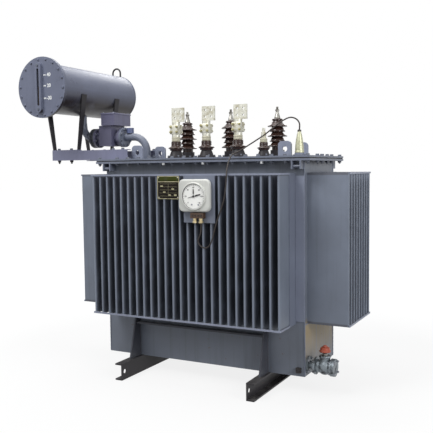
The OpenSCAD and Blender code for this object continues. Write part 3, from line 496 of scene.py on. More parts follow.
@dataclass(frozen=True)
class GaugeGlass(Finish):
    """Glass of the oil gauge: oil below the level, an empty tube above it, and smears."""

    level: float = 1.79
    empty: Colour = (0.02, 0.022, 0.026)

    def lay(self, board: Board) -> None:
        """Lay out the glass.

        Args:
            board: Board that takes the nodes.
        """
        smear = board.noise(48.0, 5.0, (1.0, 1.0, 0.3))
        full = board.band(board.part("Z"), self.level + 0.002, self.level - 0.002)
        shade = board.blend(full, self.empty, self.colour)
        shade = board.blend(board.band(smear, 0.5, 0.8, 0.25), shade, tint(120, 116, 108))
        board.give(
            Base_Color=shade, Roughness=board.band(smear, 0.3, 0.8, 0.22), IOR=1.5, Coat_Weight=0.7,
            Coat_Roughness=0.04, Normal=board.relief(smear, 0.05, 0.0008),
        )


class Paints:
    """Finishes of the transformer's pieces."""

    TANK = SprayedPaint("tank_paint", Slot.TANK, tint(112, 118, 134))
    # underside_shade paints shade on the drum's underside
    DRUM = SprayedPaint(
        "drum_paint", Slot.TANK, tint(110, 115, 134), gloss=0.3, streaks=0.15, underside_shade=0.95, shine=0.3
    )
    # ground_reflection paints the ground's yellow onto the lower right wall
    WALL = SprayedPaint("tank_wall_paint", Slot.TANK, tint(110, 116, 128), ground_reflection=0.9, streaks=0.45, rust=0.8)
    # fin_gap_shade paints shade into the gaps between the fins
    FIN = SprayedPaint("fin_paint", Slot.TANK, tint(118, 126, 141), wear=0.3, streaks=0.36, fin_gap_shade=0.6)
    # painted light: a lighter copy of the tank paint for the tie bars and corner strips, which the lamps
    # leave darker; the cover lugs take it too
    LIT_BAR = SprayedPaint("lit_bar_paint", Slot.TANK, tint(134, 140, 158), streaks=0.12, wear=0.7, dust=0.5)
    FASTENING = SprayedPaint("fastening_paint", Slot.TANK, tint(98, 103, 116), wear=0.8, dust=0.35)
    RAIL = SprayedPaint("rail_paint", Slot.DARK, tint(120, 122, 146), streaks=0.2)
    DARK = SprayedPaint("dark_paint", Slot.DARK, tint(52, 50, 53), rust=0.9, dust=0.2, streaks=0.2, shine=0.2)
    CLAMP = SprayedPaint("clamp_paint", Slot.DARK, tint(72, 74, 82), dust=0.3, shine=0.25)
    RELAY = SprayedPaint("relay_paint", Slot.RELAY, tint(104, 103, 128), gloss=0.34, dust=0.4)
    COCK = SprayedPaint("cock_paint", Slot.RELAY, tint(88, 98, 134), gloss=0.34)
    RED = SprayedPaint("red_paint", Slot.RED, tint(166, 76, 54), gloss=0.4, wear=0.5, rust=0.8, dust=0.3)
    STUD = BareMetal(
        "stud_grey", Slot.TINNED, tint(158, 156, 150), tint(64, 58, 52), metal=0.8, gloss=0.36, age=0.8
    )
    BOLT = BareMetal("zinc_bolts", Slot.DARK, tint(138, 140, 148), tint(70, 66, 66), metal=0.75, gloss=0.42)
    IRON = BareMetal(
        "valve_iron", Slot.IRON, tint(126, 134, 140), tint(40, 40, 42), metal=0.65, gloss=0.42, age=0.9
    )
    TINNED = BareMetal(
        "tinned_brass", Slot.TINNED, tint(215, 214, 202), tint(136, 124, 84), metal=0.5, gloss=0.42, age=0.6
    )
    GLAND = BareMetal("pale_brass", Slot.TINNED, tint(226, 210, 166), tint(120, 92, 50), metal=0.6, gloss=0.3)
    SCREW = BareMetal(
        "clamp_screws", Slot.TINNED, tint(176, 170, 132), tint(110, 100, 60), metal=0.6, gloss=0.36
    )
    EDGE = BareMetal("plate_edge", Slot.PLATE, tint(188, 182, 146), tint(120, 112, 78), metal=0.4, gloss=0.4)
    POCKET = BareMetal(
        "pocket_brass", Slot.POCKET, tint(190, 190, 162), tint(112, 106, 74), metal=0.45, gloss=0.4
    )
    # a near-white zinc: the nuts are real, and their white also stands in for glints on them
    GLINT_ZINC = BareMetal(
        "zinc_with_painted_glint", Slot.TINNED, tint(232, 234, 236), tint(150, 150, 150), metal=0.5, gloss=0.3
    )
    TUBE = BareMetal("steel_tube", Slot.TUBE, tint(52, 46, 44), tint(26, 22, 20), metal=0.4, gloss=0.46)
    PORCELAIN = GlazedPorcelain("brown_porcelain", Slot.PORCELAIN, tint(54, 35, 30), dust=0.08)
    RUBBER = MouldedPlastic("gasket_rubber", Slot.RUBBER, tint(44, 43, 44), gloss=0.75, grain=260.0)
    PALE = MouldedPlastic("pale_plastic", Slot.PALE, tint(198, 194, 172), gloss=0.5, grime=tint(112, 98, 70))
    CASE = MouldedPlastic("case_grey", Slot.CASE, tint(210, 211, 206), gloss=0.4)
    DIAL = MouldedPlastic("dial_enamel", Slot.CASE, tint(252, 252, 247), gloss=0.35, soiling=0.05, grain=90.0)
    BLACK = MouldedPlastic("black_plastic", Slot.BLACK, tint(38, 32, 29), gloss=0.4)
    BROWN = MouldedPlastic("brown_block", Slot.BLACK, tint(66, 46, 32), gloss=0.5, soiling=0.4)
    INK = MouldedPlastic("dial_ink", Slot.BLACK, tint(26, 26, 28), gloss=0.5, soiling=0.05)
    PLATE = MouldedPlastic("black_plate", Slot.PLATE, tint(26, 21, 18), gloss=0.6, soiling=0.05, shine=0.12)
    OLIVE = MouldedPlastic("olive_band", Slot.PLATE, tint(56, 62, 22), gloss=0.5, soiling=0.3, shine=0.12)
    WHITE = MouldedPlastic("level_marks", Slot.PALE, tint(232, 234, 234), gloss=0.5, soiling=0.1)
    GLASS = GaugeGlass("gauge_glass", Slot.GLASS, tint(58, 44, 26))


class Bench:
    """Modelling steps, made with operators on new objects alone."""

    @staticmethod
    def clear() -> None:
        """Deselect everything, so that an operator acts on new work alone."""
        if bpy.context.mode != "OBJECT":
            bpy.ops.object.mode_set(mode="OBJECT")
        bpy.ops.object.select_all(action="DESELECT")

    @staticmethod
    def hold(*pieces: Piece) -> None:
        """Select pieces and make the first one active."""
        Bench.clear()
        for piece in pieces:
            piece.select_set(True)
        bpy.context.view_layer.objects.active = pieces[0]

    @staticmethod
    def settle(piece: Piece) -> Piece:
        """Move a piece's place, turn and scale into its mesh."""
        Bench.hold(piece)
        bpy.ops.object.transform_apply(location=True, rotation=True, scale=True)
        return piece

    @staticmethod
    def open(piece: Piece) -> Piece:
        """Take a piece into edit mode."""
        Bench.hold(piece)
        bpy.ops.object.mode_set(mode="EDIT")
        return piece

    @staticmethod
    def close(piece: Piece) -> Piece:
        """Turn all faces outward and leave edit mode."""
        bpy.ops.mesh.select_all(action="SELECT")
        bpy.ops.mesh.normals_make_consistent(inside=False)
        bpy.ops.object.mode_set(mode="OBJECT")
        return piece

    @staticmethod
    def place(piece: Piece, at: Point, way: Way = Way.UP, spin: float = 0.0) -> Piece:
        """Set a piece that was modelled upright at the origin in its place.

        Args:
            piece: Piece to set.
            at: Where its origin goes.
            way: Where its upper side points.
            spin: Turn about its own axis before that.

        Returns:
            The piece.
        """
        turn = way.turn().to_matrix() @ Matrix.Rotation(spin, 3, "Z")
        piece.rotation_euler = turn.to_euler()
        piece.location = at
        return Bench.settle(piece)

    @staticmethod
    def copy(piece: Piece, at: Point, way: Way = Way.UP, spin: float = 0.0) -> Piece:
        """Copy a piece with a mesh of its own and set the copy in its place."""
        Bench.hold(piece)
        bpy.ops.object.duplicate(linked=False)
        return Bench.place(bpy.context.object, at, way, spin)

    @staticmethod
    def drop(piece: Piece) -> None:
        """Take a pattern piece away after it was copied."""
        Bench.hold(piece)
        bpy.ops.object.delete()

    @staticmethod
    def join(pieces: Sequence[Piece]) -> Piece:
        """Join pieces into one object."""
        Bench.hold(*pieces)
        if len(pieces) > 1:
            bpy.ops.object.join()
        return bpy.context.object

    @staticmethod
    def spread(pattern: Piece, places: Sequence[Point]) -> Piece:
        """Copy a pattern to places, take it away and join the copies."""
        copies = [Bench.copy(pattern, at) for at in places]
        Bench.drop(pattern)
        return Bench.join(copies)

    @staticmethod
    def block(size: Point, at: Point) -> Piece:
        """Start a block of a size around a point."""
        Bench.clear()
        bpy.ops.mesh.primitive_cube_add(size=1, location=at)
        piece = bpy.context.object
        piece.scale = size
        return Bench.settle(piece)

    @staticmethod
    def rounded(piece: Piece, width: float, steps: int = 2) -> Piece:
        """Round off a piece's sharp edges.

        Args:
            piece: Piece to round.
            width: Width of the rounding.
            steps: Faces across the rounding.

        Returns:
            The piece.
        """
        Bench.hold(piece)
        bpy.ops.object.modifier_add(type="BEVEL")
        bevel = piece.modifiers[-1]
        bevel.width, bevel.segments, bevel.limit_method = width, steps, "ANGLE"
        bevel.angle_limit = math.radians(40)
        bpy.ops.object.modifier_apply(modifier=bevel.name)
        return piece

    @staticmethod
    def drawn(profile: Profile, sides: int, solid: bool) -> Piece:
        """Draw a circle up along a profile and stay in edit mode.

        Args:
            profile: Radius and height of each step.
            sides: Faces around.
            solid: Whether the circle is a face.

        Returns:
            The piece.
        """
        Bench.clear()
        radius, height = profile[0]
        bpy.ops.mesh.primitive_circle_add(
            vertices=sides, radius=radius, fill_type="NGON" if solid else "NOTHING", location=(0, 0, height)
        )
        piece = Bench.open(Bench.settle(bpy.context.object))
        bpy.ops.mesh.select_all(action="SELECT")
        for (radius, height), (wider, higher) in zip(profile, profile[1:]):
            bpy.ops.mesh.extrude_region_move(TRANSFORM_OT_translate={"value": (0, 0, higher - height)})
            if abs(wider - radius) > 1e-7:
                ratio = wider / radius
                bpy.ops.transform.resize(value=(ratio, ratio, 1), center_override=(0, 0, higher))
        return piece

    @staticmethod
    def turned(profile: Profile, sides: int) -> Piece:
        """Turn a closed body upright about the origin from its profile, foot to tip, as on a lathe."""
        return Bench.close(Bench.drawn(profile, sides, True))

    @staticmethod
    def hoop(profile: Profile, sides: int) -> Piece:
        """Turn a ring about the origin from the corners of its cross section."""
        ring = Bench.drawn([*profile, profile[0]], sides, False)
        bpy.ops.mesh.select_all(action="SELECT")
        bpy.ops.mesh.remove_doubles(threshold=1e-6)
        return Bench.close(ring)

    @staticmethod
    def numeral(label: str, size: float, at: Point, bold: float = 0.0) -> Piece:
        """Cut a flat number that faces the front.

        Args:
            label: The number.
            size: Height of its line.
            at: Middle of the number.
            bold: Extra thickness of its strokes on each side.

        Returns:
            The number.
        """
        Bench.clear()
        bpy.ops.object.text_add()
        text = bpy.context.object
        text.data.body, text.data.size = label, size
        text.data.align_x, text.data.align_y = "CENTER", "CENTER"
        text.data.extrude, text.data.offset = 0.0003, bold
        bpy.ops.object.convert(target="MESH")
        number = bpy.context.object
        number.rotation_euler = (math.pi / 2, 0, 0)
        number.location = at
        return Bench.settle(number)

    @staticmethod
    def pick_points(piece: Piece, test: Callable[[Vector], bool]) -> None:
        """Select in edit mode the points that pass a test of their place."""
        mesh = bmesh.from_edit_mesh(piece.data)
        bpy.ops.mesh.select_all(action="DESELECT")
        for point in mesh.verts:
            point.select_set(test(point.co))
        mesh.select_flush_mode()
        bmesh.update_edit_mesh(piece.data)

    @staticmethod
    def pick_edges(piece: Piece, test: Callable[[Vector, Vector], bool]) -> None:
        """Select in edit mode the edges whose two ends pass a test."""
        mesh = bmesh.from_edit_mesh(piece.data)
        bpy.ops.mesh.select_mode(type="EDGE")
        bpy.ops.mesh.select_all(action="DESELECT")
        for edge in mesh.edges:
            edge.select_set(test(edge.verts[0].co, edge.verts[1].co))
        bmesh.update_edit_mesh(piece.data)


@dataclass(frozen=True)
class HexBolt:
    """A hexagon bolt or nut on a washer, standing on its seat."""

    across: float = 0.019
    head: float = 0.008
    washer: float = 0.012
    washer_height: float = 0.0025
    stud: float = 0.0
    twist: float = 0.4

    def model(self) -> Piece:
        """Model the bolt upright at the origin.

        Returns:
            The bolt.
        """
        corner, seat = self.across / math.sqrt(3), self.washer_height
        top = seat + self.head
        washer = Bench.turned([(self.washer, 0), (self.washer, seat * 0.7), (self.washer * 0.94, seat)], 14)
        head = Bench.turned([(corner, seat), (corner, seat + self.head * 0.82), (corner * 0.86, top)], 6)
        parts = [washer, head]
        if self.stud > 0:
            shank = self.across * 0.3
            steps = [(shank, top)]
            for ring in range(1, 4):
                level = top + self.stud * ring / 4
                steps += [(shank, level - 0.0004), (shank * 0.86, level), (shank, level + 0.0004)]
            steps += [(shank, top + self.stud * 0.9), (shank * 0.75, top + self.stud)]
            parts.append(Bench.turned(steps, 10))
        return Bench.join(parts)

    def row(self, seats: Sequence[Seat]) -> Piece:
        """Set copies of the bolt on seats, each twisted a little further, and join them.

        Args:
            seats: Place and direction of each bolt.

        Returns:
            The joined bolts.
        """
        pattern = self.model()
        copies = [Bench.copy(pattern, at, way, self.twist * number) for number, (at, way) in enumerate(seats)]
        Bench.drop(pattern)
        return Bench.join(copies)


def circle_seats(centre: Point, radius: float, count: int, way: Way, start: float = EIGHTH) -> list[Seat]:
    """Spread seats around a circle.

    Args:
        centre: Middle of the circle.
        radius: Radius of the circle.
        count: Number of seats.
        way: Direction of the bolts, along the circle's axis.
        start: Angle of the first seat.

    Returns:
        The seats.
    """
    axis = Vector(way.value)
    first = Vector((0, 0, 1)) if abs(axis.z) < 0.5 else Vector((1, 0, 0))
    second = axis.cross(first)
    seats = []
    for number in range(count):
        angle = start + 2 * math.pi * number / count
        spot = Vector(centre) + (first * math.cos(angle) + second * math.sin(angle)) * radius
        seats.append((tuple(spot), way))
    return seats


@dataclass(frozen=True)
class WeldBead:
    """A fillet weld of overlapping ripples along straight seams."""

    radius: float = 0.0042
    ripple: float = 0.009

    def run(self, start: Point, end: Point) -> Piece:
        """Lay one bead from a point to another.

        Args:
            start: First end of the seam.
            end: Second end of the seam.

        Returns:
            The bead.
        """
        span = Vector(end) - Vector(start)
        count = max(2, round(span.length / self.ripple))
        step = span.length / count
        profile = [(self.radius * 0.5, 0.0)]
        for number in range(count):
            low = number * step
            wide = self.radius * (1 + 0.1 * math.sin(number * 2.3))
            profile += [(wide, low + step * 0.35), (wide * 0.82, low + step * 0.95)]
        profile.append((self.radius * 0.5, span.length))
        bead = Bench.turned(profile, 6)
        bead.rotation_euler = Vector((0, 0, 1)).rotation_difference(span).to_euler()
        bead.location = start
        return Bench.settle(bead)


class SubAssembly:
    """Steps that the sub-assemblies share: hanging pieces on the solids and painting the solids."""

    def hang(
        self,
        piece: Piece,
        name: str,
        finish: Finish,
        stands_for: Sequence[str] = (),
        body: Body = Body.TRANSFORMER,
        smooth: float = FLAT_SMOOTH,
    ) -> Piece:
        """Name a finished piece, give it its finish and let it ride on a body.

        Args:
            piece: Finished piece.
            name: Name of the piece.
            finish: Finish of the piece.
            stands_for: Nodes that the piece stands for.
            body: Body that carries the piece.
            smooth: Largest angle that is shaded smooth, in degrees.

        Returns:
            The piece.
        """
        piece.name = name
        piece.data.name = name
        piece.data.materials.clear()
        piece.data.materials.append(finish.material())
        Bench.hold(piece)
        bpy.ops.object.shade_smooth_by_angle(angle=math.radians(smooth))
        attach(piece, body.value)
        if stands_for:
            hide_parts(*stands_for)
        LOG.info("%s: %d faces, %s", name, len(piece.data.polygons), finish.name)
        return piece

    def fasten(
        self, name: str, bolt: HexBolt, seats: Sequence[Seat], finish: Finish = Paints.FASTENING
    ) -> None:
        """Hang a row of bolts on their seats."""
        self.hang(bolt.row(seats), name, finish)

    def weld(self, name: str, seams: Sequence[tuple[Point, Point]], finish: Finish = Paints.TANK) -> None:
        """Hang weld beads along seams."""
        self.hang(Bench.join([WeldBead().run(*seam) for seam in seams]), name, finish)

    def paint(self, finish: Finish, *nodes: str) -> None:
        """Give solids of the frame a finish."""
        for node in nodes:
            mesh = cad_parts[node].data
            mesh.materials.clear()
            mesh.materials.append(finish.material())
            LOG.info("%s: solid, %s", node, finish.name)


@dataclass
class Tank(SubAssembly):
    """Base, tank walls, cover and their fastenings."""

    rim_x: float = 0.710
    rim_y: float = 0.297
    rim_bottom: float = 1.299
    cover_top: float = 1.327
    bolt: HexBolt = HexBolt()
    nut: HexBolt = HexBolt(stud=0.006)
    bolt_inset: float = 0.018
    bolt_pitch: float = 0.08
    bolt_run: float = 0.56
    end_bolts: tuple[float, ...] = (-0.125, -0.045, 0.045, 0.125)
    bright_nut: HexBolt = HexBolt(0.017, 0.012, 0.011)
    bright_places: tuple[float, ...] = (-0.216, 0.052, 0.424)
    bright_inset: float = 0.012
    tank_x: float = 0.660
    tank_y: float = 0.247
    wall_foot: float = 0.102
    fin_foot: float = 0.392
    gusset_x: float = 0.434
    gusset_half: float = 0.005
    gusset_reach: float = 0.11
    gusset_foot: float = 0.100
    gusset_top: float = 0.385
    lug_x: float = 0.503
    lug_y: float = 0.135
    lug_half: float = 0.04
    lug_face: float = 0.007
    earth_bolt: HexBolt = HexBolt(0.017, 0.008, 0.012)
    earth: Point = (0.626, -0.263, 0.136)

    def dress(self) -> None:
        """Paint the tank's solids."""
        self.paint(Paints.WALL, "tank_body")
        self.paint(Paints.TANK, "fin_cheeks", "tank_rim", "cover_plate", "tank_lifting_hooks", "hook_bars")
        # lit_bar_paint paints light onto the tie bars and corner strips
        self.paint(Paints.LIT_BAR, "tie_bars", "corner_strips", "cover_lifting_lugs")
        self.paint(Paints.DARK, "base_channel_left", "base_channel_right")
        self.paint(Paints.CLAMP, "gussets", "stiffeners")
        self.paint(Paints.RUBBER, "cover_gasket")
        self.paint(Paints.BLACK, "earth_terminal")

    def edge_places(self) -> list[tuple[float, float]]:
        """Return the bolts' places around the cover's edge."""
        x, y = self.rim_x - self.bolt_inset, self.rim_y - self.bolt_inset
        count = round(self.bolt_run / self.bolt_pitch)
        along = [number * self.bolt_pitch for number in range(-count, count + 1)]
        places = [(spot, side * y) for side in SIDES for spot in (*along, -x, x)]
        return places + [(side * x, spot) for side in SIDES for spot in self.end_bolts]

    def build(self) -> None:
        """Fasten the cover, weld the gussets, lugs and walls and set the earth bolt."""
        top, low = self.cover_top, self.rim_bottom
        places = self.edge_places()
        self.fasten("cover_bolt_heads", self.bolt, [((x, y, top), Way.UP) for x, y in places])
        self.fasten("cover_bolt_nuts", self.nut, [((x, y, low), Way.DOWN) for x, y in places])
        # three nuts under the rim whose near-white colour also paints glints
        bright = [((x, -self.rim_y + self.bright_inset, low), Way.DOWN) for x in self.bright_places]
        self.fasten("glint_nuts", self.bright_nut, bright, Paints.GLINT_ZINC)
        gussets = []
        for side, end, face in product(SIDES, SIDES, SIDES):
            x = end * self.gusset_x + face * self.gusset_half
            wall, toe = side * self.tank_y, side * (self.tank_y + self.gusset_reach)
            foot = (x, wall, self.gusset_foot)
            gussets += [(foot, (x, wall, self.gusset_top)), (foot, (x, toe, self.gusset_foot))]
        self.weld("gusset_welds", gussets, Paints.CLAMP)
        lugs = []
        for end, side, face in product(SIDES, SIDES, SIDES):
            x, y = end * self.lug_x, side * self.lug_y + face * self.lug_face
            lugs.append(((x - self.lug_half, y, top), (x + self.lug_half, y, top)))
        self.weld("lug_welds", lugs)
        seams, wide = [], self.tank_y
        for x in (-self.tank_x, self.tank_x):
            seams.append(((x, -wide, self.fin_foot), (x, wide, self.fin_foot)))
            seams += [((x, y, self.wall_foot), (x, y, low)) for y in (-wide, wide)]
        seams += [((-self.tank_x, y, low), (self.tank_x, y, low)) for y in (-wide, wide)]
        self.weld("tank_seams", seams)
        self.fasten("earth_bolt", self.earth_bolt, [(self.earth, Way.FRONT)], Paints.DARK)


@dataclass
class FinBank(SubAssembly):
    """A bank of folded sheet fins with rounded tips and pressed ends."""

    name: str
    node: str
    way: Way
    count: int
    depth: float
    root: float
    pitch: float = 0.05
    thickness: float = 0.012
    bottom: float = 0.393
    top: float = 1.233
    fold: float = 0.0052
    press: float = 0.016

    def fin(self) -> Piece:
        """Model one fin that stands out to the front from the origin.

        Returns:
            The fin.
        """
        size = (self.thickness, self.depth, self.top - self.bottom)
        fin = Bench.open(Bench.block(size, (0, -self.depth / 2, (self.bottom + self.top) / 2)))
        tip = -self.depth + 1e-4
        Bench.pick_edges(fin, lambda a, b: a.y < tip and b.y < tip and abs(a.z - b.z) > 0.1)
        bpy.ops.mesh.bevel(offset=self.fold, segments=3, affect="EDGES")
        for level in (self.bottom + self.press, self.top - self.press):
            bpy.ops.mesh.select_all(action="SELECT")
            bpy.ops.mesh.bisect(plane_co=(0, 0, level), plane_no=(0, 0, 1))
        bpy.ops.mesh.select_mode(type="VERT")
        for level in (self.bottom, self.top):
            Bench.pick_points(fin, lambda spot: abs(spot.z - level) < 1e-4)
            bpy.ops.transform.resize(value=(0.5, 1, 1), center_override=(0, 0, level))
        return Bench.close(fin)

    def build(self) -> None:
        """Set the fins in a row and turn the bank to its side of the tank."""
        spots = [(number - (self.count - 1) / 2) * self.pitch for number in range(self.count)]
        bank = Bench.spread(self.fin(), [(spot, -self.root, 0) for spot in spots])
        outward = Vector(self.way.value)
        bank.rotation_euler = (0, 0, math.atan2(outward.y, outward.x) + math.pi / 2)
        self.hang(Bench.settle(bank), self.name, Paints.FIN, (self.node,))


@dataclass
class HighVoltageBushings(SubAssembly):
    """The rear row of bushings with sheds, caps, studs and clamps."""

    places: tuple[float, ...] = (-0.275, 0.040, 0.355)
    row: float = 0.110
    clamp_top: float = 1.337
    clamp_circle: float = 0.0505
    clamp_bolt: HexBolt = HexBolt(0.013, 0.007, 0.0065, 0.002)
    foot: float = 1.370
    core: float = 0.034
    throat: float = 0.027
    sheds: tuple[float, ...] = (0.060, 0.048, 0.060, 0.048, 0.060)
    neck: float = 0.020
    pitch: float = 0.030
    head: float = 0.033
    head_height: float = 0.012
    top: float = 1.560
    nut: HexBolt = HexBolt(0.021, 0.010, 0.0125, 0.002)
    nut_height: float = 0.044

    def insulator(self) -> Piece:
        """Turn one insulator on the tank's cover at the origin.

        Returns:
            The insulator.
        """
        core, throat, head = self.core, self.throat, self.head
        profile = [(core, self.foot)]
        for number, lip in enumerate(self.sheds):
            shed = [
                (core, 0.0060), (core + 0.003, 0.0044), (lip - 0.004, 0.0006), (lip - 0.0016, 0.0001),
                (lip, 0.0018), (lip, 0.0050), (lip - 0.0016, 0.0070), (lip - 0.006, 0.0096),
                (core + 0.005, 0.0200), (core + 0.001, 0.0232), (core, 0.0260),
            ]
            profile += raised(shed, self.foot + self.neck + number * self.pitch)
        low = -self.head_height
        crown = [
            (throat, low - 0.004), (throat, low - 0.002), (head - 0.002, low), (head, low + 0.002),
            (head, -0.005), (head - 0.003, -0.001), (throat - 0.002, 0.0),
        ]
        return Bench.turned(profile + raised(crown, self.top), 40)

    def cap(self) -> Piece:
        """Turn one cap with its stud and nuts.

        Returns:
            The cap.
        """
        profile = [
            (0.0175, 0.0), (0.0180, 0.001), (0.0180, 0.0075), (0.0164, 0.010), (0.0164, 0.0125),
            (0.0158, 0.0135), (0.0104, 0.034), (0.0084, 0.044), (0.0070, 0.044),
        ]
        for ring in range(5):
            level = 0.0475 + ring * 0.0045
            profile += [(0.0070, level), (0.0061, level + 0.0009), (0.0070, level + 0.0018)]
        profile += [(0.0070, 0.0705), (0.0056, 0.0720)]
        cap = Bench.turned(raised(profile, self.top), 28)
        return Bench.join([cap, Bench.place(self.nut.model(), (0, 0, self.top + self.nut_height))])

    def build(self) -> None:
        """Set insulators, caps and clamp bolts in a row."""
        patterns = (
            (self.insulator(), "hv_insulators", Paints.PORCELAIN, "hv_porcelain"),
            (self.cap(), "hv_caps", Paints.STUD, "hv_terminals"),
        )
        for pattern, name, finish, node in patterns:
            pieces = Bench.spread(pattern, [(x, self.row, 0) for x in self.places])
            self.hang(pieces, name, finish, (node,), smooth=LATHE_SMOOTH)
        seats = []
        for x in self.places:
            seats += circle_seats((x, self.row, self.clamp_top), self.clamp_circle, 4, Way.UP)
        self.fasten("hv_clamp_bolts", self.clamp_bolt, seats)

    def dress(self) -> None:
        """Paint the clamps."""
        self.paint(Paints.DARK, "hv_clamps")


@dataclass
class LowVoltageBushings(SubAssembly):
    """The front row of bushings with flags, the neutral bushing and their clamps."""

    places: tuple[float, ...] = (-0.225, -0.012, 0.201)
    neutral: float = 0.365
    neutral_share: float = 0.8
    row: float = -0.120
    cover_top: float = 1.327
    foot: float = 1.374
    collar: float = 1.4015
    washer: float = 1.430
    clamp: float = 1.458
    ring_height: float = 0.010
    ring_circle: float = 0.0500
    ring_bolt: HexBolt = HexBolt(0.010, 0.006, 0.0052, 0.002)
    jaw: Point = (0.060, 0.013, 0.058)
    jaw_aside: float = 0.0205
    jaw_height: float = 0.046
    screw: HexBolt = HexBolt(0.013, 0.008, 0.0080, 0.002, 0.004)
    screw_x: float = 0.0215
    screw_aside: float = 0.027
    screw_heights: tuple[float, ...] = (0.030, 0.062)
    neutral_nut: HexBolt = HexBolt(0.026, 0.011, 0.0145, 0.002)
    neutral_nut_height: float = 0.024

    def insulator(self) -> Piece:
        """Turn one flared insulator with a ribbed collar.

        Returns:
            The insulator.
        """
        flare = [
            (0.0360, 0.0), (0.0385, 0.0006), (0.0392, 0.0020), (0.0392, 0.0085), (0.0410, 0.0105),
            (0.0466, 0.0120), (0.0485, 0.0138), (0.0485, 0.0164), (0.0468, 0.0186), (0.0400, 0.0222),
            (0.0340, 0.0252),
        ]
        ribs = [
            (0.0318, 0.0), (0.0310, 0.003), (0.0310, 0.008), (0.0296, 0.0096), (0.0296, 0.0114),
            (0.0310, 0.0130), (0.0310, 0.0190), (0.0296, 0.0206), (0.0296, 0.0224), (0.0308, 0.0240),
        ]
        rim = [(0.0304, self.washer - 0.0015), (0.0285, self.washer)]
        return Bench.turned([*raised(flare, self.foot), *raised(ribs, self.collar), *rim], 40)

    def pad(self) -> Piece:
        """Turn one pale washer with rounded shoulders.

        Returns:
            The washer.
        """
        steps = [
            (0.0250, 0.0), (0.0266, 0.002), (0.0270, 0.005), (0.0270, 0.011), (0.0256, 0.0125),
            (0.0256, 0.0150), (0.0268, 0.0165),
        ]
        rim = [(0.0268, self.clamp - 0.004), (0.0245, self.clamp)]
        return Bench.turned([*raised(steps, self.washer), *rim], 36)

    def smaller(self, pattern: Piece) -> Piece:
        """Copy a pattern for the neutral bushing, at its share of the size above the cover."""
        Bench.hold(pattern)
        bpy.ops.object.duplicate(linked=False)
        piece = bpy.context.object
        share = self.neutral_share
        piece.scale = (share, share, share)
        piece.location = (self.neutral, self.row, self.cover_top * (1 - share))
        return Bench.settle(piece)

    def build(self) -> None:
        """Set insulators, washers, jaws and bolts in a row."""
        patterns = (
            (self.insulator(), "lv_insulators", Paints.PORCELAIN, "lv_porcelain"),
            (self.pad(), "lv_pads", Paints.PALE, "lv_washers"),
        )
        for pattern, name, finish, node in patterns:
            copies = [Bench.copy(pattern, (x, self.row, 0)) for x in self.places]
            copies.append(self.smaller(pattern))
            Bench.drop(pattern)
            self.hang(Bench.join(copies), name, finish, (node,), smooth=LATHE_SMOOTH)
        seats = []
        for x, share in (*((x, 1.0) for x in self.places), (self.neutral, self.neutral_share)):
            centre = (x, self.row, self.cover_top + self.ring_height * share)
            seats += circle_seats(centre, self.ring_circle * share, 4, Way.UP)
        self.fasten("lv_clamp_bolts", self.ring_bolt, seats)
        screws, jaws = [], []
        for x, (side, way) in product(self.places, ((-1, Way.FRONT), (1, Way.REAR))):
            at = (x, self.row + side * self.jaw_aside, self.clamp + self.jaw_height)
            jaws.append(Bench.rounded(Bench.block(self.jaw, at), 0.004))
            for end, rise in product(SIDES, self.screw_heights):
                at = (x + end * self.screw_x, self.row + side * self.screw_aside, self.clamp + rise)
                screws.append((at, way))
        self.hang(Bench.join(jaws), "lv_clamp_jaws", Paints.TINNED)
        self.fasten("lv_clamp_screws", self.screw, screws, Paints.SCREW)
        base = self.cover_top + (self.clamp - self.cover_top) * self.neutral_share + self.neutral_nut_height
        nut = [((self.neutral, self.row, base), Way.UP)]
        self.fasten("neutral_nut", self.neutral_nut, nut, Paints.TINNED)

    def dress(self) -> None:
        """Paint the clamps and plate the flags."""
        self.paint(Paints.DARK, "lv_clamps")
        self.paint(Paints.TINNED, "lv_terminals", "neutral_terminal")


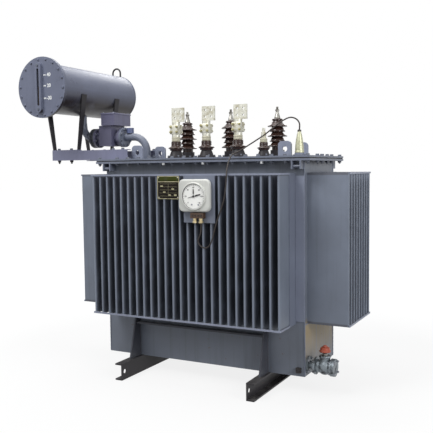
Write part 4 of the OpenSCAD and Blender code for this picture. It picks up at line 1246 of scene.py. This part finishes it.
@dataclass
class DialThermometer(SubAssembly):
    """Dial thermometer with its case, dial, glands, capillary tube and pocket."""

    centre: Point = (0.117, -0.513, 1.110)
    radius: float = 0.069
    corner: float = 0.030
    case_edge: float = 0.010
    numeral_size: float = 0.011
    hands: tuple[tuple[float, ...], ...] = (
        (14, 0.012, 0.045, 0.0086, 0.0042), (14, 0.002, 0.012, 0.0030, 0.0042),
        (194, 0.002, 0.036, 0.0030, 0.0042), (90, 0.014, 0.041, 0.0066, 0.0030),
        (90, 0.002, 0.014, 0.0024, 0.0030),
    )
    dial_screws: tuple[float, ...] = (-0.011, 0.031)
    gland_x: tuple[float, ...] = (0.115, 0.153)
    gland_y: float = -0.497
    gland_bottom: float = 0.963
    gland_top: float = 0.989
    terminal_x: tuple[float, ...] = (0.108, 0.125, 0.143, 0.160)
    terminal_y: float = -0.511
    terminal_z: float = 1.0045
    terminal: HexBolt = HexBolt(0.008, 0.003, 0.0048, 0.001)
    pocket: Point = (0.592, -0.140, 1.327)
    pocket_circle: float = 0.034
    pocket_bolt: HexBolt = HexBolt(0.010, 0.006, 0.0066, 0.002)
    tube: float = 0.008
    route: tuple[Point, ...] = (
        (0.153, -0.497, 0.963), (0.150, -0.497, 0.911), (0.132, -0.496, 0.864), (0.150, -0.494, 0.834),
        (0.184, -0.494, 0.828), (0.214, -0.492, 0.864), (0.246, -0.489, 0.972), (0.288, -0.487, 1.086),
        (0.306, -0.492, 1.180), (0.306, -0.482, 1.248), (0.290, -0.425, 1.300), (0.276, -0.355, 1.335),
        (0.290, -0.305, 1.354), (0.333, -0.280, 1.384), (0.424, -0.250, 1.444), (0.470, -0.222, 1.486),
        (0.516, -0.196, 1.524), (0.550, -0.172, 1.541), (0.578, -0.152, 1.532), (0.592, -0.140, 1.508),
        (0.592, -0.140, 1.473),
    )

    def smooth_route(self, samples: int = 8) -> list[Vector]:
        """Draw a smooth curve through the route's points.

        Args:
            samples: Steps from one point to the next.

        Returns:
            The points of the curve.
        """
        spots = [Vector(spot) for spot in self.route]
        last = len(spots) - 1
        curve = []
        for i in range(last):
            a, b, c, d = (spots[max(0, min(last, i + shift))] for shift in (-1, 0, 1, 2))
            for step in range(samples):
                t = step / samples
                bend = (a * 2 - b * 5 + c * 4 - d) * t * t + (b * 3 - a - c * 3 + d) * t ** 3
                curve.append((b * 2 + (c - a) * t + bend) / 2)
        return [*curve, spots[last]]

    def capillary(self) -> None:
        """Lay the capillary tube along its route, from the gland to the pocket."""
        path = self.smooth_route()
        Bench.clear()
        bpy.ops.curve.primitive_nurbs_path_add()
        tube = bpy.context.object
        line = tube.data
        line.splines.clear()
        spline = line.splines.new("POLY")
        spline.points.add(len(path) - 1)
        for point, spot in zip(spline.points, path):
            point.co = (*spot, 1.0)
        tube.location = (0, 0, 0)
        line.bevel_depth, line.bevel_resolution, line.use_fill_caps = self.tube / 2, 3, True
        Bench.hold(tube)
        bpy.ops.object.convert(target="MESH")
        tube = bpy.context.object
        self.hang(tube, "capillary", Paints.TUBE, ("capillary_tube",), smooth=TUBE_SMOOTH)

    def front(self, piece: Piece) -> Piece:
        """Set a piece that was modelled upright on the middle of the dial."""
        return Bench.place(piece, self.centre, Way.FRONT)

    def case(self) -> None:
        """Model the case with its raised ring, a dark hoop inside the ring that paints the shade on the
        ring's inner wall, and the dial's face.
        """
        low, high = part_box("dial_case")
        case = Bench.open(Bench.block(tuple(high - low), tuple((low + high) / 2)))
        Bench.pick_edges(case, lambda a, b: abs(a.y - b.y) > 0.01)
        bpy.ops.mesh.bevel(offset=self.corner, segments=7, affect="EDGES")
        bpy.ops.object.mode_set(mode="OBJECT")
        Bench.rounded(case, self.case_edge, 4)
        self.hang(case, "dial_case_shell", Paints.CASE, ("dial_case",))
        r = self.radius
        ring = [
            (r, -0.001), (r, 0.0065), (r + 0.0012, 0.0078), (r + 0.0045, 0.0078), (r + 0.0075, 0.0055),
            (r + 0.0090, 0.0), (r + 0.0090, -0.001),
        ]
        # painted shade: a thin dark rubber hoop inside the ring stands in for the shade on the ring's inner
        # wall
        shade_hoop = [(r - 0.0010, 0.0), (r - 0.0010, 0.0056), (r + 0.0004, 0.0062), (r + 0.0004, 0.0)]
        face = [(r + 0.0005, -0.001), (r + 0.0005, 0.0012), (r - 0.004, 0.0016), (r - 0.010, 0.0012)]
        self.hang(self.front(Bench.hoop(ring, 64)), "dial_ring", Paints.CASE)
        self.hang(self.front(Bench.hoop(shade_hoop, 64)), "dial_shade_hoop", Paints.RUBBER)
        self.hang(self.front(Bench.turned(face, 64)), "dial_face", Paints.DIAL)

    def spoke(self, angle: float, start: float, end: float, width: float, lift: float) -> Piece:
        """Make one flat tapered bar on the dial.

        Args:
            angle: Direction from the dial's middle in degrees, from the right towards the top.
            start: Distance of its inner end from the middle.
            end: Distance of its outer end from the middle.
            width: Width at its inner end.
            lift: Height above the case's front.

        Returns:
            The bar.
        """
        bar = Bench.open(Bench.block((end - start, width, 0.0008), ((start + end) / 2, 0, lift)))
        Bench.pick_points(bar, lambda spot: spot.x > end - 1e-5)
        bpy.ops.transform.resize(value=(1, 0.7, 1), center_override=(end, 0, lift))
        bpy.ops.object.mode_set(mode="OBJECT")
        bar.rotation_euler = (0, 0, math.radians(angle))
        Bench.settle(bar)
        bar.rotation_euler = (math.pi / 2, 0, 0)
        bar.location = self.centre
        return Bench.settle(bar)

    def dial(self) -> None:
        """Draw the scale, set the pointers and screw the dial down."""
        marks = []
        for number in range(25):
            depth, width = (0.0115, 0.0016) if number % 4 == 0 else (0.0085, 0.0009)
            angle = 225 - 270 * number / 24
            marks.append(self.spoke(angle, self.radius - depth, self.radius - 0.004, width, 0.0016))
        reach = self.radius - 0.0195
        for number in range(7):
            angle = math.radians(225 - 45 * number)
            spot = Vector(self.centre) + Vector((math.cos(angle) * reach, -0.0016, math.sin(angle) * reach))
            marks.append(Bench.numeral(str(number * 20), self.numeral_size, tuple(spot)))
        self.hang(Bench.join(marks), "dial_scale", Paints.INK)
        hands = [self.spoke(*hand) for hand in self.hands]
        hub = Bench.turned([(0.0058, 0.001), (0.0058, 0.0052), (0.0046, 0.0064), (0.0020, 0.0066)], 24)
        self.hang(Bench.join([*hands, self.front(hub)]), "dial_pointers", Paints.INK)
        screws = []
        x, y, z = self.centre
        for aside in self.dial_screws:
            screw = Bench.turned([(0.0044, 0.0), (0.0044, 0.0022), (0.0034, 0.0032), (0.0010, 0.0034)], 18)
            screws.append(Bench.place(screw, (x + aside, y - 0.0012, z - 0.045), Way.FRONT))
        self.hang(Bench.join(screws), "dial_screws", Paints.BOLT)

    def glands(self) -> None:
        """Turn the two glands with their hexagon nuts and set the terminal screws."""
        nut = [(0.0122, 0.0), (0.0128, 0.001), (0.0128, 0.009), (0.0120, 0.010)]
        body = [
            (0.0090, 0.010), (0.0098, 0.011), (0.0098, 0.015), (0.0090, 0.016), (0.0090, 0.018),
            (0.0110, 0.0185), (0.0110, self.gland_top - self.gland_bottom),
        ]
        low = self.gland_bottom
        pattern = Bench.join([Bench.turned(raised(nut, low), 6), Bench.turned(raised(body, low), 20)])
        glands = Bench.spread(pattern, [(x, self.gland_y, 0) for x in self.gland_x])
        self.hang(glands, "gland_nuts", Paints.GLAND, ("cable_glands",))
        seats = [((x, self.terminal_y, self.terminal_z), Way.FRONT) for x in self.terminal_x]
        self.fasten("terminal_screws", self.terminal, seats, Paints.TUBE)

    def pocket_body(self) -> None:
        """Turn the thermometer pocket with its hexagon and its cap."""
        foot = [(0.0280, 0.0), (0.0280, 0.0130), (0.0270, 0.0162), (0.0240, 0.0175)]
        cone = [
            (0.0240, 0.0170), (0.0262, 0.0180), (0.0262, 0.0260), (0.0250, 0.0275), (0.0246, 0.0320),
            (0.0234, 0.058), (0.0190, 0.092), (0.0146, 0.116), (0.0106, 0.130), (0.0092, 0.137),
        ]
        cap = [(0.0104, 0.134), (0.0110, 0.136), (0.0110, 0.142), (0.0092, 0.146), (0.0046, 0.1465)]
        steps = (
            (foot, 36, "pocket_foot", Paints.TANK, (), LATHE_SMOOTH),
            (cone, 36, "pocket_cone", Paints.POCKET, ("thermometer_pocket",), LATHE_SMOOTH),
            (cap, 6, "pocket_cap", Paints.BLACK, (), FLAT_SMOOTH),
        )
        for profile, sides, name, finish, nodes, smooth in steps:
            piece = Bench.place(Bench.turned(profile, sides), self.pocket)
            self.hang(piece, name, finish, nodes, smooth=smooth)
        bolts = circle_seats(self.pocket, self.pocket_circle, 4, Way.UP, 0.6)
        self.fasten("pocket_bolts", self.pocket_bolt, bolts)

    def build(self) -> None:
        """Build the thermometer from the cord outward."""
        self.capillary()
        self.case()
        self.dial()
        self.glands()
        self.pocket_body()

    def dress(self) -> None:
        """Paint the mounting plate and the terminal block."""
        self.paint(Paints.TANK, "dial_bracket")
        self.paint(Paints.BROWN, "dial_terminal_block")


@dataclass
class Nameplate(SubAssembly):
    """A bare plate with a raised border, a coloured head band, blank rulings and rivets."""

    left: float = -0.1395
    right: float = 0.0035
    bottom: float = 1.092
    top: float = 1.222
    front: float = -0.476
    border: float = 0.0030
    border_height: float = 0.0018
    band: float = 0.024
    rivet_inset: float = 0.009
    field: Point = (0.016, 0.0005, 0.006)
    fields: tuple[tuple[float, float], ...] = (
        (-0.044, 0.71), (0.030, 0.55), (-0.026, 0.38), (0.046, 0.22), (0.008, 0.22),
    )

    def strip(self, size: Point, x: float, z: float) -> Piece:
        """Make one flat rounded strip on the plate's front."""
        return Bench.rounded(Bench.block(size, (x, self.front - size[1] / 2, z)), min(size) * 0.3)

    def build(self) -> None:
        """Build the border, rulings, band and rivets."""
        wide, tall = self.right - self.left, self.top - self.bottom
        x, z = (self.left + self.right) / 2, (self.top + self.bottom) / 2
        head = self.top - self.border - self.band
        half = self.border / 2
        level, upright = (wide, self.border_height, self.border), (self.border, self.border_height, tall)
        strips = [
            self.strip(level, x, self.bottom + half),
            self.strip(level, x, self.top - half),
            self.strip(upright, self.left + half, z),
            self.strip(upright, self.right - half, z),
            self.strip((wide - self.border, 0.0014, 0.0034), x, head - 0.0055),
        ]
        self.hang(Bench.join(strips), "plate_frame", Paints.EDGE)
        clear = head - self.bottom
        rulings = [
            self.strip((wide - 0.03, 0.0004, 0.0006), x, head - clear * number / 6) for number in range(1, 6)
        ]
        rulings.append(self.strip((0.0006, 0.0004, clear * 0.66), x, (head + self.bottom) / 2))
        for aside, share in self.fields:
            rulings.append(self.strip(self.field, x + aside, self.bottom + clear * share))
        self.hang(Bench.join(rulings), "plate_rulings", Paints.EDGE)
        band = self.strip((wide - self.border * 2, 0.0008, self.band), x, head + self.band / 2)
        self.hang(band, "plate_band", Paints.OLIVE)
        rivets = []
        inset = self.rivet_inset
        for spot in product((self.left + inset, self.right - inset), (self.bottom + inset, self.top - inset)):
            rivet = Bench.turned([(0.0030, 0.0), (0.0028, 0.0010), (0.0018, 0.0018), (0.0005, 0.0021)], 14)
            rivets.append(Bench.place(rivet, (spot[0], self.front, spot[1]), Way.FRONT))
        self.hang(Bench.join(rivets), "plate_rivets", Paints.TINNED)

    def dress(self) -> None:
        """Paint the plate."""
        self.paint(Paints.PLATE, "nameplate")


@dataclass
class Conservator(SubAssembly):
    """Oil conservator with its end cover, level gauge, rails and legs."""

    axis: tuple[float, float] = (-1.039, 1.787)
    front: float = -0.410
    rear: float = 0.406
    flange: float = 0.022
    bolt_circle: float = 0.1755
    bolt_count: int = 18
    bolt_start: float = 0.12
    bolt: HexBolt = HexBolt(0.013, 0.005, 0.0085, 0.0015)
    nut: HexBolt = HexBolt(0.017, 0.008, 0.011, 0.002, 0.006)
    gauge_x: float = -1.051
    gauge_front: float = -0.430
    gauge_half: float = 0.137
    gauge_screw: HexBolt = HexBolt(0.013, 0.006, 0.009, 0.002)
    marks: tuple[tuple[float, str], ...] = ((0.075, "40"), (0.008, "20"), (-0.070, "-30"))
    tick: Point = (0.018, 0.0006, 0.008)
    tick_aside: float = 0.028
    number_aside: float = 0.062
    number_size: float = 0.030
    rail_y: float = 0.180
    rail_x: tuple[float, ...] = (-1.104, -1.000)
    rail_bolt_z: float = 1.396
    foot_x: tuple[float, ...] = (-0.660, -0.585)
    foot_bolt_z: float = 1.390
    rail_bottom: float = 1.327
    rail_bolt: HexBolt = HexBolt(0.017, 0.008, 0.011, 0.0025)
    rail_nut: HexBolt = HexBolt(0.019, 0.010, 0.012, 0.0025, 0.010)

    def end_seats(self, y: float, way: Way) -> list[Seat]:
        """Return the seats around the end cover at a depth."""
        x, z = self.axis
        return circle_seats((x, y, z), self.bolt_circle, self.bolt_count, way, self.bolt_start)

    def build(self) -> None:
        """Fasten the end cover, mark the gauge and bolt the legs down."""
        x, z = self.axis
        self.fasten("end_cover_bolts", self.bolt, self.end_seats(self.front, Way.FRONT), Paints.DRUM)
        self.fasten("end_cover_nuts", self.nut, self.end_seats(self.front + self.flange, Way.REAR))
        screws = [((self.gauge_x, self.gauge_front, z + side * self.gauge_half), Way.FRONT) for side in SIDES]
        self.fasten("gauge_screws", self.gauge_screw, screws)
        ticks = []
        for rise, label in self.marks:
            tick = Bench.block(self.tick, (x + self.tick_aside, self.front - self.tick[1] / 2, z + rise))
            ticks.append(Bench.rounded(tick, 0.0002, 1))
            at = (x + self.number_aside, self.front, z + rise)
            ticks.append(Bench.numeral(label, self.number_size, at, 0.0012))
        self.hang(Bench.join(ticks), "level_marks", Paints.WHITE)
        bead = [(0.1545, 0.0), (0.1550, 0.004), (0.1580, 0.0048), (0.1605, 0.002), (0.1600, -0.002)]
        rear = Bench.place(Bench.hoop(bead, 72), (x, self.rear, z), Way.REAR)
        self.hang(rear, "rear_end_weld", Paints.TANK)
        bolts = []
        for y in (-self.rail_y, self.rail_y):
            bolts += [((spot, y, self.rail_bolt_z), Way.UP) for spot in self.rail_x]
            bolts += [((spot, y, self.foot_bolt_z), Way.UP) for spot in self.foot_x]
        self.fasten("rail_bolts", self.rail_bolt, bolts)
        nuts = [((spot, -self.rail_y, self.rail_bottom), Way.DOWN) for spot in self.rail_x]
        self.fasten("rail_nuts", self.rail_nut, nuts, Paints.DARK)

    def dress(self) -> None:
        """Paint the conservator's solids."""
        self.paint(
            Paints.DRUM, "conservator_shell", "conservator_front_cover", "conservator_rear_end",
            "level_gauge_frame",
        )
        self.paint(Paints.RAIL, "conservator_rails", "saddle_feet")
        # the legs take the dark paint, which partly paints the shade that the drum casts on them; the hoop
        # takes it too
        self.paint(Paints.DARK, "conservator_hoop", "saddle_legs")
        self.paint(Paints.GLASS, "level_gauge_glass")


@dataclass
class OilPipe(SubAssembly):
    """Pipe from the conservator to the tank with shut-off valve, gas relay and vent cock."""

    axis: float = 1.476
    bolt: HexBolt = HexBolt(0.015, 0.008, 0.0092, 0.002)
    bolt_circle: float = 0.053
    faces: tuple[tuple[float, Way], ...] = (
        (-0.945, Way.LEFT), (-0.897, Way.RIGHT), (-0.717, Way.LEFT), (-0.689, Way.RIGHT),
    )
    foot: Point = (-0.521, 0.0, 1.341)
    foot_circle: float = 0.043
    foot_bolt: HexBolt = HexBolt(0.017, 0.009, 0.011, 0.002)
    cock: Point = (-0.650, 0.0, 1.500)
    lid_past: float = 0.008
    lid_height: float = 0.010
    lid_sunk: float = 0.002
    screw: HexBolt = HexBolt(0.010, 0.005, 0.0062, 0.001)
    screw_inset: float = 0.012

    def build(self) -> None:
        """Bolt the flanges, turn the vent cock's knob and screw the relay's lid on."""
        seats = []
        for x, way in self.faces:
            seats += circle_seats((x, 0.0, self.axis), self.bolt_circle, 8, way, EIGHTH / 2)
        self.fasten("pipe_flange_bolts", self.bolt, seats)
        self.fasten("pipe_foot_bolts", self.foot_bolt, circle_seats(self.foot, self.foot_circle, 4, Way.UP))
        profile = [(0.0120, 0.0), (0.0120, 0.006), (0.0215, 0.008), (0.0238, 0.012)]
        for ring in range(4):
            level = 0.014 + ring * 0.004
            profile += [(0.0240, level), (0.0226, level + 0.002)]
        profile += [(0.0236, 0.0305), (0.0210, 0.0350), (0.0080, 0.0358)]
        self.hang(Bench.place(Bench.turned(profile, 20), self.cock), "vent_knob", Paints.COCK)
        low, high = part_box("relay_head")
        size = (high.x - low.x + self.lid_past, high.y - low.y + self.lid_past, self.lid_height)
        lid = Bench.block(size, ((low.x + high.x) / 2, 0.0, high.z - self.lid_sunk))
        self.hang(Bench.rounded(lid, 0.003), "relay_head_lid", Paints.RELAY)
        inset, top = self.screw_inset, high.z + self.lid_height / 2 - self.lid_sunk
        spots = product((low.x + inset, high.x - inset), (low.y + inset, high.y - inset))
        self.fasten("relay_head_screws", self.screw, [((x, y, top), Way.UP) for x, y in spots])

    def dress(self) -> None:
        """Paint the pipe's solids."""
        self.paint(Paints.TANK, "upper_oil_pipe", "lower_oil_pipe")
        self.paint(Paints.CLAMP, "shut_off_valve")
        self.paint(Paints.RELAY, "relay_body", "relay_head")
        self.paint(Paints.COCK, "vent_cock")


@dataclass
class DrainValve(SubAssembly):
    """Drain valve with its blind flange, gland nut and handwheel."""

    row: float = -0.190
    axis: float = 0.157
    stem_x: float = 0.7585
    bolt: HexBolt = HexBolt(0.011, 0.007, 0.0062, 0.002)
    bolt_circle: float = 0.0425
    faces: tuple[tuple[float, Way], ...] = (
        (0.670, Way.RIGHT), (0.702, Way.LEFT), (0.795, Way.LEFT), (0.819, Way.RIGHT),
    )
    packing: float = 0.2195
    hub_top: float = 0.271

    def build(self) -> None:
        """Bolt the flanges and set the bonnet's collar, the gland nut and the wheel's cap."""
        seats = []
        for x, way in self.faces:
            seats += circle_seats((x, self.row, self.axis), self.bolt_circle, 4, way)
        self.fasten("drain_flange_bolts", self.bolt, seats, Paints.BOLT)
        collar = [(0.0290, -0.010), (0.0330, -0.009), (0.0336, -0.007), (0.0336, -0.002), (0.0322, 0.0)]
        nut = [(0.0150, 0.0), (0.0158, 0.0012), (0.0158, 0.0110), (0.0146, 0.0125)]
        dome = [
            (0.0124, -0.001), (0.0120, 0.002), (0.0104, 0.0042), (0.0072, 0.0062), (0.0040, 0.0070),
            (0.0012, 0.0072),
        ]
        steps = (
            (collar, 8, self.packing, 0.39, "bonnet_collar", Paints.IRON, Body.TRANSFORMER),
            (nut, 6, self.packing, 0.0, "drain_gland_nut", Paints.STUD, Body.TRANSFORMER),
            (dome, 20, self.hub_top, 0.0, "wheel_cap", Paints.RED, Body.HANDWHEEL),
        )
        for profile, sides, z, spin, name, finish, body in steps:
            piece = Bench.place(Bench.turned(profile, sides), (self.stem_x, self.row, z), spin=spin)
            self.hang(piece, name, finish, body=body)

    def dress(self) -> None:
        """Paint the valve's solids."""
        self.paint(Paints.IRON, "drain_valve", "drain_blind_flange")
        self.paint(Paints.RED, "drain_handwheel")


@dataclass
class Studio:
    """Pale floor, soft light and the camera."""

    eye: Point = (1.95992, -3.74865, 1.25455)
    yaw: float = 27.75
    pitch: float = 3.94
    roll: float = -0.65
    lens: float = 56.53
    sensor: float = 36.0
    aim: Point = (0.0, 0.0, 0.9)
    lamps: tuple[tuple[str, Point, float, float], ...] = (
        ("key", (-2.2, -4.2, 6.2), 3.2, 325.0),
        ("fill", (6.0, -2.9, 3.4), 3.0, 215.0),
        ("top", (-0.6, 0.2, 6.4), 3.0, 150.0),
        ("rear", (-2.0, 5.4, 4.4), 3.0, 110.0),
    )
    sky: float = 0.26
    sky_colour: Colour = (0.95, 0.98, 1.0)
    white: Colour = (1.0, 1.0, 1.0)
    floor_size: float = 60.0
    floor_grey: Colour = (0.3, 0.3, 0.3)
    glow: float = 1.45
    near: float = 1.6
    far: float = 4.5
    near_share: float = 0.58
    far_share: float = 0.71

    def camera(self) -> None:
        """Set the camera at the picture's viewing angle."""
        yaw, pitch, roll = (math.radians(angle) for angle in (self.yaw, self.pitch, self.roll))
        level = math.cos(pitch)
        ahead = Vector((-math.sin(yaw) * level, math.cos(yaw) * level, -math.sin(pitch)))
        right = Vector((math.cos(yaw), math.sin(yaw), 0.0))
        up = right.cross(ahead)
        across = right * math.cos(roll) + up * math.sin(roll)
        upright = up * math.cos(roll) - right * math.sin(roll)
        turn = Matrix((across, upright, -ahead)).transposed()
        data = bpy.data.cameras.new("camera")
        data.sensor_width, data.lens = self.sensor, self.lens
        camera = bpy.data.objects.new("camera", data)
        camera.matrix_world = Matrix.Translation(self.eye) @ turn.to_4x4()
        bpy.context.scene.collection.objects.link(camera)
        bpy.context.scene.camera = camera

    def lamp(self, name: str, at: Point, size: float, power: float) -> None:
        """Hang one soft lamp that looks at the transformer's middle.

        Args:
            name: Name of the lamp.
            at: Place of the lamp.
            size: Side of its square face.
            power: Power in watts.
        """
        data = bpy.data.lights.new(name, "AREA")
        data.size, data.energy = size, power
        lamp = bpy.data.objects.new(name, data)
        lamp.location = at
        lamp.rotation_euler = (Vector(self.aim) - Vector(at)).to_track_quat("-Z", "Y").to_euler()
        bpy.context.scene.collection.objects.link(lamp)

    def seen(self, board: Board) -> Socket:
        """Return 1 for rays that show the background and 0 for rays that light the object."""
        rays = board.node("LightPath").outputs
        mirrored = board.sum("MAXIMUM", rays["Is Camera Ray"], rays["Is Glossy Ray"])
        return board.sum("MAXIMUM", mirrored, rays["Is Transmission Ray"])

    def background(self) -> None:
        """Light the scene with a plain sky that looks white."""
        world = bpy.data.worlds.new("studio")
        board = Board(world, "OutputWorld")
        light = board.node("Background", Color=self.sky_colour, Strength=self.sky)
        board.mix(self.seen(board), light, board.node("Background", Color=self.white, Strength=1.0))
        bpy.context.scene.world = world

    def floor(self) -> None:
        """Lay the pale floor, which keeps a faint shadow."""
        Bench.clear()
        bpy.ops.mesh.primitive_plane_add(size=self.floor_size, location=(0, 0, 0))
        floor = bpy.context.object
        floor.name = "floor"
        material = bpy.data.materials.new("floor")
        board = Board(material)
        away = board.measure("LENGTH", board.place)
        share = board.band(away, self.near, self.far, self.far_share, self.near_share)
        matt = board.node("BsdfDiffuse", Color=self.floor_grey)
        board.mix(board.times(self.seen(board), share), matt, board.node("Emission", Strength=self.glow))
        floor.data.materials.append(material)

    def build(self) -> None:
        """Build the studio."""
        self.camera()
        self.background()
        self.floor()
        for lamp in self.lamps:
            self.lamp(*lamp)
        bpy.context.scene.view_settings.view_transform = "Standard"
        LOG.info("studio is ready")


def main() -> None:
    """Build the studio and the sub-assemblies in order."""
    logging.basicConfig(level=logging.INFO, format="%(name)s: %(message)s")
    Studio().build()
    dressed = [
        DialThermometer(), Tank(), HighVoltageBushings(), LowVoltageBushings(), Nameplate(), Conservator(),
        OilPipe(), DrainValve(),
    ]
    long_bank = {"count": 25, "depth": 0.226, "root": 0.247}
    end_bank = {"count": 9, "depth": 0.239, "root": 0.660}
    banks = [
        FinBank("front_fins", "front_fin_bank", Way.FRONT, **long_bank),
        FinBank("rear_fins", "rear_fin_bank", Way.REAR, **long_bank),
        FinBank("left_fins", "left_fin_bank", Way.LEFT, **end_bank),
        FinBank("right_fins", "right_fin_bank", Way.RIGHT, **end_bank),
    ]
    for assembly in (*dressed, *banks):
        assembly.build()
    for assembly in dressed:
        assembly.dress()


if __name__ == "__main__":
    main()
